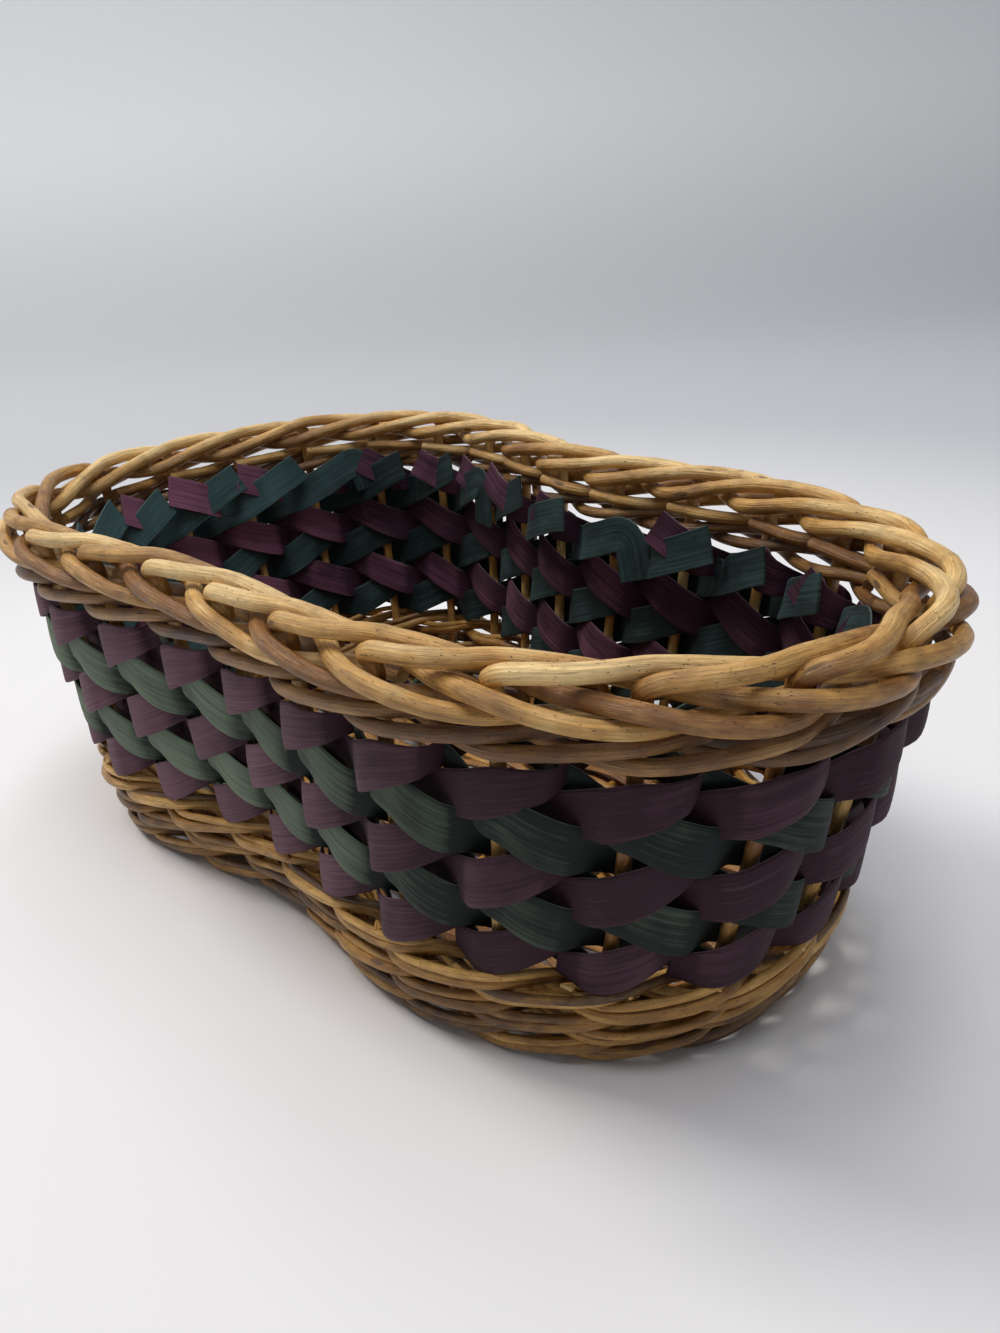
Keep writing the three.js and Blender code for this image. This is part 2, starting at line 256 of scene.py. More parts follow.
@dataclass(frozen=True)
class Wall:
    """The middle surface of the wall, between the outline of the foot and that of the rim."""

    rim: Loop = Loop(179, 120, 0.21, 0.3, 0)
    foot: Loop = Loop(145, 101, 0.32, 0.3, -5)
    waist_spread: float = 0.5
    lobe_taper: float = 0.21
    end_round: float = 0.8
    flare: float = 0.6
    crowding: float = 0.03
    stakes: int = 27
    crown: float = 139.32
    rows: int = 5
    row_height: float = 14.4
    bottom: float = 36.0
    centre: Tuple[float, float] = (0.2905, 1.3038)
    turn_samples: int = 4001

    @property
    def top(self) -> float:
        """The height at which the splints end."""
        return self.bottom + self.rows * self.row_height

    def level(self, loop: Loop, angle: Array) -> Array:
        """Find points of a level outline.

        Args:
            loop: The outline.
            angle: The turn round it, in radians.

        Returns:
            X and Y of each point.
        """
        along, across = np.cos(angle), np.sin(angle)
        waist = np.where(across < 0, loop.near_waist, loop.far_waist)
        narrow = 1 - waist * np.exp(-((along / self.waist_spread) ** 2))
        lobe = 1 - self.lobe_taper * along
        rounded = np.sign(across) * np.abs(across) ** self.end_round
        return np.stack(
            [loop.half_length * along + loop.shift, loop.half_width * rounded * narrow * lobe], -1
        )

    def lengths(self) -> Tuple[Array, Array]:
        """Measure the wall round its mid-height.

        Returns:
            Angles round it, and the length run up to each.
        """
        angle = np.linspace(0, 2 * math.pi, self.turn_samples)
        middle = (self.level(self.rim, angle) + self.level(self.foot, angle)) / 2
        steps = np.linalg.norm(np.diff(middle, axis=0), axis=1)
        steps *= 1 + self.crowding * np.cos(angle[1:])
        return angle, np.concatenate([[0], np.cumsum(steps)])

    @property
    def bay(self) -> float:
        """The distance from stake to stake at mid-height."""
        return float(self.lengths()[1][-1]) / self.stakes

    def middle(self, bays: Array, height: Array) -> Array:
        """Find the wall's middle.

        Args:
            bays: Places round the wall.
            height: Their heights.

        Returns:
            X and Y of each place.
        """
        angles, lengths = self.lengths()
        turn = np.interp(np.mod(bays, self.stakes) / self.stakes * lengths[-1], lengths, angles)
        rise = (np.maximum(height, 0) / self.crown) ** self.flare
        low, high = self.level(self.foot, turn), self.level(self.rim, turn)
        return low + (high - low) * rise[:, None]

    def outward(self, bays: Array, height: Array) -> Array:
        """Find the level directions that point straight out of the wall.

        Args:
            bays: Places round the wall.
            height: Their heights.

        Returns:
            X, Y and Z of each direction, one long.
        """
        step = 0.05
        along = self.middle(bays + step, height) - self.middle(bays - step, height)
        along /= np.linalg.norm(along, axis=1, keepdims=True)
        return np.stack([along[:, 1], -along[:, 0], np.zeros(len(along))], -1)

    def place(self, bays: Array, height: Array, reach: Array) -> Array:
        """Find places on, in or out from the wall.

        Args:
            bays: Places round the wall.
            height: Their heights.
            reach: How far each lies out from the wall's middle.

        Returns:
            X, Y and Z of each, in the basket's own frame.
        """
        bays, height, reach = np.broadcast_arrays(
            np.asarray(bays, float), np.asarray(height, float), np.asarray(reach, float)
        )
        flat = self.middle(bays, height) + np.array(self.centre)
        points = np.concatenate([flat, height[:, None]], 1)
        return points + self.outward(bays, height) * reach[:, None]


WALL = Wall()


# Finishes


@dataclass(frozen=True)
class WillowFinish:
    """Peeled or browned willow: streaked along the rod, with patches, knots and specks."""

    name: str
    pale: str
    body: str
    brown: str
    knot: str = "3f2616"
    gloss: float = 0.24
    bump: float = 0.85
    depth: float = 0.0007
    # How often each pattern repeats in a metre, along the rod, through it and across it.
    patches: Place = (34, 80, 80)
    mottle: Place = (150, 420, 420)
    streaks: Place = (60, 1500, 1500)
    fibres: Place = (260, 5200, 5200)
    pores: Place = (800, 1700, 1700)
    eyes: Place = (34, 120, 120)
    # How much of each pattern goes into the shade, and what comes off their sum.
    patch_share: float = 1.3
    mottle_share: float = 0.6
    shade_drop: float = 1.08
    # The shades at which the wood has its brown, its body and its pale colour.
    shades: Tuple[float, ...] = (0.08, 0.45, 0.88)
    # A dark line's brightness is the second number, and a light one's is both together.
    streak_contrast: Tuple[float, float] = (1.6, 0.18)
    fibre_contrast: Tuple[float, float] = (0.35, 0.84)
    # How dark a pore, an eye and a knot are, and where the first two start and end.
    pore_dark: float = 0.8
    pore_edge: Tuple[float, float] = (0.69, 0.75)
    eye_dark: float = 0.75
    eye_edge: Tuple[float, float] = (0.13, 0.07)
    knot_dark: float = 0.35
    # How much rougher the streaks are, and how high streaks, fibres, mottle and dark places stand.
    streak_rough: float = 0.25
    relief: Tuple[float, ...] = (0.9, 0.3, 0.5, -0.6)

    def build(self) -> bpy.types.Material:
        """Make the material.

        Returns:
            A material that reads the strand's own grain, tone and knot attributes.
        """
        material, graph = blank_material(self.name)
        grain = graph.attribute("grain", "Vector")
        rough = {"Roughness": 0.6}
        patches = graph.noise(grain, self.patches, Detail=3, **rough)
        mottle = graph.noise(grain, self.mottle, Detail=4, **rough)
        streaks = graph.noise(grain, self.streaks, Detail=4, **rough)
        fibres = graph.noise(grain, self.fibres, Detail=2, **rough)
        pores = graph.noise(grain, self.pores, Detail=1, **rough)
        spots = {"Vector": graph.vector("MULTIPLY", grain, self.eyes), "Scale": 1.0}
        eyes = graph.add("ShaderNodeTexVoronoi", spots).outputs["Distance"]

        shade = graph.math("SUBTRACT", graph.attribute("tone"), self.shade_drop)
        shade = graph.math("MULTIPLY_ADD", patches, self.patch_share, shade)
        shade = graph.math("MULTIPLY_ADD", mottle, self.mottle_share, shade)
        wood = graph.ramp(shade, dict(zip(self.shades, (self.brown, self.body, self.pale))))
        lines = graph.math("MULTIPLY_ADD", streaks, *self.streak_contrast)
        fine = graph.math("MULTIPLY_ADD", fibres, *self.fibre_contrast)
        grained = graph.vector("SCALE", wood, graph.math("MULTIPLY", lines, fine))
        pore = graph.math("MULTIPLY", graph.fade(pores, *self.pore_edge), self.pore_dark)
        eye = graph.math("MULTIPLY", graph.fade(eyes, *self.eye_edge), self.eye_dark)
        swollen = graph.math("MULTIPLY", graph.attribute("knot"), self.knot_dark)
        dark = graph.math("MAXIMUM", graph.math("MAXIMUM", pore, eye), swollen)

        height = 0.0
        for pattern, rise in zip((streaks, fibres, mottle, dark), self.relief):
            height = graph.math("MULTIPLY_ADD", pattern, rise, height)
        graph.surface(
            {
                "Base Color": graph.mix(dark, grained, paint(self.knot)),
                "Roughness": graph.math("MULTIPLY_ADD", streaks, self.streak_rough, self.gloss),
                "Normal": graph.bump(height, self.bump, self.depth),
                "Specular IOR Level": 0.5,
            }
        )
        return material


@dataclass(frozen=True)
class SplintFinish:
    """Thin dyed wood: fine lengthwise grain, faded on the outer face and raw at the edges."""

    name: str
    outer: str
    outer_dark: str
    inner: str
    inner_dark: str
    edge: str
    gloss: float = 0.56
    shine: float = 0.18
    bump: float = 0.4
    depth: float = 0.0004
    dust: float = 0.02
    dust_colour: str = "d8cfc6"
    # How often each pattern repeats in a metre, along the splint, through it and across it.
    fibres: Place = (30, 40, 3600)
    figure: Place = (20, 30, 760)
    patches: Place = (55, 40, 70)
    # A dark fibre's brightness is the second number, and a light one's is both together.
    fibre_contrast: Tuple[float, float] = (2.2, -0.08)
    figure_share: float = 0.7
    shade_drop: float = 0.65
    # The shades at which a face has its dark colour and its full one.
    shades: Tuple[float, float] = (0.1, 0.9)
    # How much rougher the patches are, and how high the figure stands beside the fibres.
    patch_rough: float = 0.2
    figure_rise: float = 0.6
    # How far across the splint its raw edge starts, how ragged it is, and how much it shows.
    edge_start: float = 0.992
    edge_ragged: float = 0.02
    edge_share: float = 0.5

    def build(self) -> bpy.types.Material:
        """Make the material.

        Returns:
            A material that reads the splint's own grain, tone and section attributes.
        """
        material, graph = blank_material(self.name)
        grain = graph.attribute("grain", "Vector")
        fibres = graph.noise(grain, self.fibres, Detail=4)
        figure = graph.noise(grain, self.figure, Detail=4, Distortion=0.3)
        patches = graph.noise(grain, self.patches, Detail=3)
        shade = graph.math("MULTIPLY", graph.math("ADD", figure, patches), self.figure_share)
        shade = graph.math("ADD", shade, graph.math("SUBTRACT", graph.attribute("tone"), self.shade_drop))
        inner = graph.ramp(shade, dict(zip(self.shades, (self.inner_dark, self.inner))))
        outer = graph.ramp(shade, dict(zip(self.shades, (self.outer_dark, self.outer))))

        sides = graph.add("ShaderNodeSeparateXYZ", {"Vector": graph.attribute("section", "Vector")}).outputs
        dyed = graph.mix(graph.math("GREATER_THAN", sides["X"], 0.0), inner, outer)
        lined = graph.vector("SCALE", dyed, graph.math("MULTIPLY_ADD", fibres, *self.fibre_contrast))
        across = graph.math("MULTIPLY_ADD", fibres, self.edge_ragged, graph.math("ABSOLUTE", sides["Y"]))
        raw = graph.math("MULTIPLY", graph.math("GREATER_THAN", across, self.edge_start), self.edge_share)
        height = graph.math("MULTIPLY_ADD", figure, self.figure_rise, fibres)
        graph.surface(
            {
                "Base Color": graph.mix(raw, lined, paint(self.edge)),
                "Roughness": graph.math("MULTIPLY_ADD", patches, self.patch_rough, self.gloss),
                "Normal": graph.bump(height, self.bump, self.depth),
                "Specular IOR Level": self.shine,
                "Sheen Weight": self.dust,
                "Sheen Roughness": 0.5,
                "Sheen Tint": paint(self.dust_colour),
            }
        )
        return material


# Strands: everything long and thin is drawn out along a path


@dataclass
class Strand:
    """A rod or a splint before it has a surface: its path and what its section does along it."""

    name: str
    points: Array
    outward: Array
    upward: Array
    thick: Numbers
    wide: Numbers
    closed: bool = False
    bow: float = 0.0
    tone: Numbers = 0.5
    knots: Numbers = 0.0

    def guide(self) -> bpy.types.Object:
        """Make the path.

        Returns:
            An object of points and edges, with the section's sizes as attributes.
        """
        count = len(self.points)
        ring = np.arange(count)
        edges = np.stack([ring, np.roll(ring, -1)], 1)
        if not self.closed:
            edges = edges[:-1]
        mesh = bpy.data.meshes.new(self.name)
        mesh.from_pydata((self.points * MM).tolist(), edges.tolist(), [])
        steps = np.linalg.norm(np.diff(self.points, axis=0), axis=1)
        along = np.concatenate([[0], np.cumsum(steps)]) * MM
        vectors = {"centre": self.points * MM, "outward": self.outward, "upward": self.upward}
        floats = {
            "thick": np.asarray(self.thick) * MM / 2,
            "wide": np.asarray(self.wide) * MM / 2,
            "along": along,
            "tone": self.tone,
            "knot": self.knots,
        }
        for name, values in vectors.items():
            data = mesh.attributes.new(name, "FLOAT_VECTOR", "POINT").data
            data.foreach_set("vector", np.ascontiguousarray(values, np.float32).ravel())
        for name, values in floats.items():
            data = mesh.attributes.new(name, "FLOAT", "POINT").data
            data.foreach_set("value", np.ascontiguousarray(np.broadcast_to(values, count), np.float32))
        guide = bpy.data.objects.new(self.name, mesh)
        bpy.context.scene.collection.objects.link(guide)
        return guide


class StrandMaker:
    """Draws sections out along paths with one geometry tree."""

    # The angle between two faces, in radians, from which their edge stays sharp.
    sharp_angle = 0.9
    path_values = ("centre", "outward", "upward", "thick", "wide", "along")

    def __init__(self) -> None:
        """Build the tree."""
        self.tree = bpy.data.node_groups.new("strand", "GeometryNodeTree")
        self.sockets: Dict[str, str] = {}
        self.build()

    def socket(self, name: str, kind: str, value: object = None) -> None:
        """Add a named input.

        Args:
            name: The input's name.
            kind: The socket's class name.
            value: What it holds unless told otherwise.
        """
        item = self.tree.interface.new_socket(name, in_out="INPUT", socket_type=kind)
        if value is not None:
            item.default_value = value
        self.sockets[name] = item.identifier

    def build(self) -> None:
        """Build the tree: path, section, sweep, grain, lumps, shading, material."""
        self.socket("Geometry", "NodeSocketGeometry")
        self.socket("Section Points", "NodeSocketInt", 14)
        self.socket("Squareness", "NodeSocketFloat", 2.0)
        self.socket("Bow", "NodeSocketFloat", 0.0)
        self.socket("Lump Height", "NodeSocketFloat", 0.0)
        self.socket("Lump Scale", "NodeSocketFloat", 120.0)
        self.socket("Seed", "NodeSocketFloat", 0.0)
        self.socket("Finish", "NodeSocketMaterial")
        out = self.tree.interface
        out.new_socket("Geometry", in_out="OUTPUT", socket_type="NodeSocketGeometry")
        graph = Graph(self.tree)
        given = graph.add("NodeGroupInput").outputs

        def named(name: str, kind: str = "FLOAT") -> Socket:
            """Read one of the path's attributes."""
            node = graph.add("GeometryNodeInputNamedAttribute", {"Name": name}, data_type=kind)
            return node.outputs[0]

        def store(geometry: object, name: str, value: object, kind: str) -> Socket:
            """Keep a value on the points.

            Args:
                geometry: The points.
                name: The value's name.
                value: A value, or another node's output.
                kind: Its data type.

            Returns:
                The points with the value.
            """
            node = graph.add("GeometryNodeStoreNamedAttribute", data_type=kind, domain="POINT")
            inputs = {"Geometry": geometry, "Name": name, "Value": value}
            for socket in node.inputs:
                if socket.enabled and socket.name in inputs:
                    item = inputs[socket.name]
                    if isinstance(item, Socket):
                        graph.tree.links.new(item, socket)
                    else:
                        socket.default_value = item
            return node.outputs[0]

        path = graph.add("GeometryNodeMeshToCurve", {"Mesh": given["Geometry"]}).outputs[0]
        circle = graph.add(
            "GeometryNodeCurvePrimitiveCircle", {"Resolution": given["Section Points"], "Radius": 1.0}
        ).outputs[0]
        here = graph.add("GeometryNodeInputPosition").outputs[0]
        part = graph.add("ShaderNodeSeparateXYZ", {"Vector": here}).outputs
        power = graph.math("POWER", graph.math("ABSOLUTE", part["Y"]), given["Squareness"])
        room = graph.math("MAXIMUM", graph.math("SUBTRACT", 1.0, power), 0.0)
        depth = graph.math("POWER", room, graph.math("DIVIDE", 1.0, given["Squareness"]))
        signed = graph.math("MULTIPLY", depth, graph.math("SIGN", part["X"]))
        shape = graph.add("ShaderNodeCombineXYZ", {"X": signed, "Y": part["Y"]}).outputs[0]
        section = store(circle, "section", shape, "FLOAT_VECTOR")
        swept = graph.add(
            "GeometryNodeCurveToMesh", {"Curve": path, "Profile Curve": section, "Fill Caps": True}
        ).outputs[0]

        place = graph.add("ShaderNodeSeparateXYZ", {"Vector": named("section", "FLOAT_VECTOR")}).outputs
        sink = graph.math("POWER", graph.math("ABSOLUTE", place["Y"]), 2.0)
        sink = graph.math("MULTIPLY", sink, given["Bow"])
        out_by = graph.math("SUBTRACT", graph.math("MULTIPLY", place["X"], named("thick")), sink)
        up_by = graph.math("MULTIPLY", place["Y"], named("wide"))
        spot = named("centre", "FLOAT_VECTOR")
        for way, distance in (("outward", out_by), ("upward", up_by)):
            spot = graph.vector("ADD", spot, graph.vector("SCALE", named(way, "FLOAT_VECTOR"), distance))
        shaped = graph.add("GeometryNodeSetPosition", {"Geometry": swept, "Position": spot}).outputs[0]

        length = graph.math("ADD", named("along"), given["Seed"])
        grain = graph.add("ShaderNodeCombineXYZ", {"X": length, "Y": out_by, "Z": up_by}).outputs[0]
        grained = store(shaped, "grain", grain, "FLOAT_VECTOR")
        lump = graph.add(
            "ShaderNodeTexNoise",
            {"Vector": named("grain", "FLOAT_VECTOR"), "Scale": given["Lump Scale"], "Detail": 2.0},
        ).outputs[0]
        swell = graph.math("MULTIPLY", graph.math("SUBTRACT", lump, 0.5), given["Lump Height"])
        normal = graph.add("GeometryNodeInputNormal").outputs[0]
        offset = graph.vector("SCALE", normal, swell)
        lumpy = graph.add("GeometryNodeSetPosition", {"Geometry": grained, "Offset": offset}).outputs[0]
        faced = graph.add("GeometryNodeFlipFaces", {"Mesh": lumpy}).outputs[0]
        smooth = graph.add("GeometryNodeSetShadeSmooth", {"Geometry": faced}).outputs[0]
        angle = graph.add("GeometryNodeInputMeshEdgeAngle").outputs["Unsigned Angle"]
        sharp = graph.math("GREATER_THAN", angle, self.sharp_angle)
        creased = graph.add(
            "GeometryNodeSetShadeSmooth",
            {"Geometry": smooth, "Selection": sharp, "Shade Smooth": False},
            domain="EDGE",
        ).outputs[0]
        whole = graph.add("GeometryNodeRealizeInstances", {"Geometry": creased}).outputs[0]
        done = graph.add("GeometryNodeSetMaterial", {"Geometry": whole, "Material": given["Finish"]})
        graph.add("NodeGroupOutput", {"Geometry": done.outputs[0]})

    def make(self, strand: Strand, finish: bpy.types.Material, **sizes: object) -> bpy.types.Object:
        """Turn a strand into a finished mesh.

        Args:
            strand: The path and its section.
            finish: The material.
            **sizes: Inputs of the tree, with underscores for spaces.

        Returns:
            A plain mesh object with no modifier left.
        """
        guide = strand.guide()
        modifier = guide.modifiers.new("strand", "NODES")
        modifier.node_group = self.tree
        values = {"Bow": strand.bow * MM, "Finish": finish}
        values.update({name.replace("_", " "): value for name, value in sizes.items()})
        for name, value in values.items():
            modifier[self.sockets[name]] = value
        graph = bpy.context.evaluated_depsgraph_get()
        mesh = bpy.data.meshes.new_from_object(guide.evaluated_get(graph))
        mesh.name = strand.name
        guide.modifiers.clear()
        spare = guide.data
        guide.data = mesh
        bpy.data.meshes.remove(spare)
        for name in self.path_values:
            if name in mesh.attributes:
                mesh.attributes.remove(mesh.attributes[name])
        return guide


def rod_frame(points: Array, outward: Array, closed: bool) -> Tuple[Array, Array]:
    """Square a rod's section to its path.

    Args:
        points: The path.
        outward: Rough outward directions.
        closed: Whether the path is a ring.

    Returns:
        The section's outward and upward directions.
    """
    if closed:
        along = np.roll(points, -1, 0) - np.roll(points, 1, 0)
    else:
        along = np.gradient(points, axis=0)
    along /= np.linalg.norm(along, axis=1, keepdims=True)
    out = outward - along * np.sum(outward * along, 1, keepdims=True)
    out /= np.linalg.norm(out, axis=1, keepdims=True)
    return out, np.cross(out, along)


# Willow


@dataclass
class Willow:
    """What every willow rod shares: knots, taper and a little wander."""

    maker: StrandMaker
    rng: np.random.Generator
    section_points: int = 14
    tones: Tuple[float, float] = (0.25, 0.85)
    knot_spacing: float = 55
    # From one knot to the next as shares of the spacing, and how strong a knot is.
    knot_gaps: Tuple[float, float] = (0.5, 1.6)
    knot_strengths: Tuple[float, float] = (0.25, 0.8)
    knot_length: float = 1.6
    knot_swell: float = 0.09
    size_drift: float = 0.025
    # Samples between two free values of the drift off the path and of the size.
    bend_samples: float = 14
    size_samples: float = 10
    # Samples over which a ring's drift dies away, so that its ends meet.
    joint_samples: float = 12
    # In metres, and in lumps per metre.
    lump_height: float = 0.00028
    lump_scale: float = 130.0
    floor_gap: float = 0.25

    def rod(
        self,
        name: str,
        bays: Array,
        height: Array,
        reach: Array,
        diameter: Array,
        finish: bpy.types.Material,
        closed: bool = False,
        drift: float = 0.15,
        lit_and_shaded_tone: Numbers = 0.0,
    ) -> bpy.types.Object:
        """Make one rod on the wall.

        Args:
            name: The rod's name.
            bays: Places round the wall.
            height: Heights.
            reach: Reaches outwards.
            diameter: Diameters along the rod.
            finish: The material.
            closed: Whether it is a ring.
            drift: How far the rod strays from its path.
            lit_and_shaded_tone: Painted light and shade added to the tone along the rod, lighter where it is
                lit and darker where it lies in shade.

        Returns:
            The rod.
        """
        count = len(bays)
        window = np.ones(count)
        if closed:
            from_end = np.minimum(np.arange(count), count - 1 - np.arange(count))
            window = np.clip(from_end / self.joint_samples, 0, 1)
        reach = reach + wander(self.rng, count, self.bend_samples, drift) * window
        height = height + wander(self.rng, count, self.bend_samples, drift) * window
        height = np.maximum(height, diameter / 2 + self.floor_gap)
        points = WALL.place(bays, height, reach)
        outward, upward = rod_frame(points, WALL.outward(bays, height), closed)
        knots = self.knots(points)
        swell = wander(self.rng, count, self.size_samples, self.size_drift) * window
        size = diameter * (1 + self.knot_swell * knots + swell)
        # The tone also takes the painted light and shade given along the rod.
        tone = self.rng.uniform(*self.tones) + lit_and_shaded_tone
        strand = Strand(name, points, outward, upward, size, size, closed, tone=tone, knots=knots)
        return self.maker.make(
            strand, finish, Section_Points=self.section_points, Lump_Height=self.lump_height,
            Lump_Scale=self.lump_scale, Seed=float(self.rng.uniform(0, GRAIN_SHIFT)),
        )

    def knots(self, points: Array) -> Array:
        """Scatter knots along a path.

        Args:
            points: The path.

        Returns:
            For each point, from 0 on plain wood to 1 on a knot.
        """
        steps = np.linalg.norm(np.diff(points, axis=0), axis=1)
        along = np.concatenate([[0], np.cumsum(steps)])
        knots = np.zeros(len(points))
        here = self.rng.uniform(0, self.knot_spacing)
        while here < along[-1]:
            bump = np.exp(-(((along - here) / self.knot_length) ** 2))
            knots = np.maximum(knots, bump * self.rng.uniform(*self.knot_strengths))
            here += self.rng.uniform(*self.knot_gaps) * self.knot_spacing
        return knots


@dataclass
class Stakes:
    """The upright stakes, each bent over at the top as one rod of the rolled border."""

    willow: Willow
    finish: bpy.types.Material
    diameter: float = 4.2
    thickness: float = 5.4
    border: float = 6.2
    foot: float = 4.0
    drift: float = 0.26
    spread: float = 0.012
    samples: int = 230
    # Drops below the crown, as shares of the border's unit, and the painted light and shade added to the
    # tone there: lighter on top of the crown, darker where the rod passes under the others.
    shading_drops: Tuple[float, ...] = (0.5, 0.8, 1.3, 2.0, 3.0)
    shading_tones: Tuple[float, ...] = (0.25, 0.1, -0.12, -0.12, 0.0)
    upright_steps: int = 6
    # Bays past its own stake, reach and drop below the crown as shares of the border's unit, and
    # thickness as a share of the rod's own.
    path: Tuple[Tuple[float, float, float, float], ...] = (
        (0.0, 0.0, 2.6, 0.84),
        (0.0, 0.0, 2.1, 0.88),
        (-0.01, 0.12, 1.6, 0.94),
        (-0.02, 0.34, 1.15, 0.98),
        (0.06, 0.52, 0.8, 1.0),
        (0.25, 0.62, 0.58, 1.0),
        (0.5, 0.54, 0.5, 1.0),
        (0.75, 0.2, 0.46, 1.0),
        (1.0, -0.27, 0.46, 1.0),
        (1.25, -0.6, 0.64, 1.0),
        (1.5, -0.82, 0.86, 1.0),
        (1.75, -1.0, 1.12, 1.0),
        (2.0, -1.07, 1.42, 1.0),
        (2.25, -0.8, 1.7, 1.0),
        (2.5, -0.1, 1.7, 1.0),
        (2.75, 0.72, 1.52, 1.0),
        (3.0, 1.26, 1.54, 0.98),
        (3.25, 1.42, 1.78, 0.96),
        (3.5, 1.42, 2.04, 0.93),
        (3.75, 1.28, 2.3, 0.9),
        (4.0, 0.88, 2.52, 0.88),
        (4.2, 0.25, 2.64, 0.86),
        (4.4, -0.4, 2.68, 0.86),
        (4.62, -0.84, 2.64, 0.86),
        (4.86, -0.98, 2.58, 0.86),
        (5.1, -1.0, 2.54, 0.86),
    )

    def build(self) -> List[bpy.types.Object]:
        """Make all the stakes."""
        return [self.stake(index) for index in range(WALL.stakes)]

    def stake(self, index: int) -> bpy.types.Object:
        """Make one stake with its border rod.

        Args:
            index: Its number, from the small lobe's tip.

        Returns:
            The rod, in place of its CAD node.
        """
        table = np.array(self.path)
        start = WALL.crown - table[0, 2] * self.border
        steps = self.upright_steps
        upright = np.linspace(self.foot, start, steps + 1)[:-1]
        bays = np.concatenate([np.zeros(steps), table[:, 0]])
        reach = np.concatenate([np.zeros(steps), table[:, 1] * self.border])
        height = np.concatenate([upright, WALL.crown - table[:, 2] * self.border])
        size = np.concatenate([np.full(steps, self.diameter), table[:, 3] * self.thickness])
        bays = bays * self.willow.rng.normal(1, self.spread)
        run = np.stack([bays * WALL.bay, height, reach], 1)
        stops = np.concatenate([[0], np.cumsum(np.linalg.norm(np.diff(run, axis=0), axis=1))])
        at = np.linspace(0, stops[-1], self.samples)
        bays, height, reach, size = glide(stops, np.stack([bays, height, reach, size], 1), at).T
        drop = (WALL.crown - height) / self.border
        # Painted light on top of the crown and painted shade where the rod passes under the others go into
        # its tone.
        piece = self.willow.rod(
            f"willow_stake_{index + 1:02d}", bays + index, height, reach, size, self.finish,
            drift=self.drift, lit_and_shaded_tone=np.interp(drop, self.shading_drops, self.shading_tones),
        )
        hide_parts(f"stake_{index + 1:02d}")
        return piece


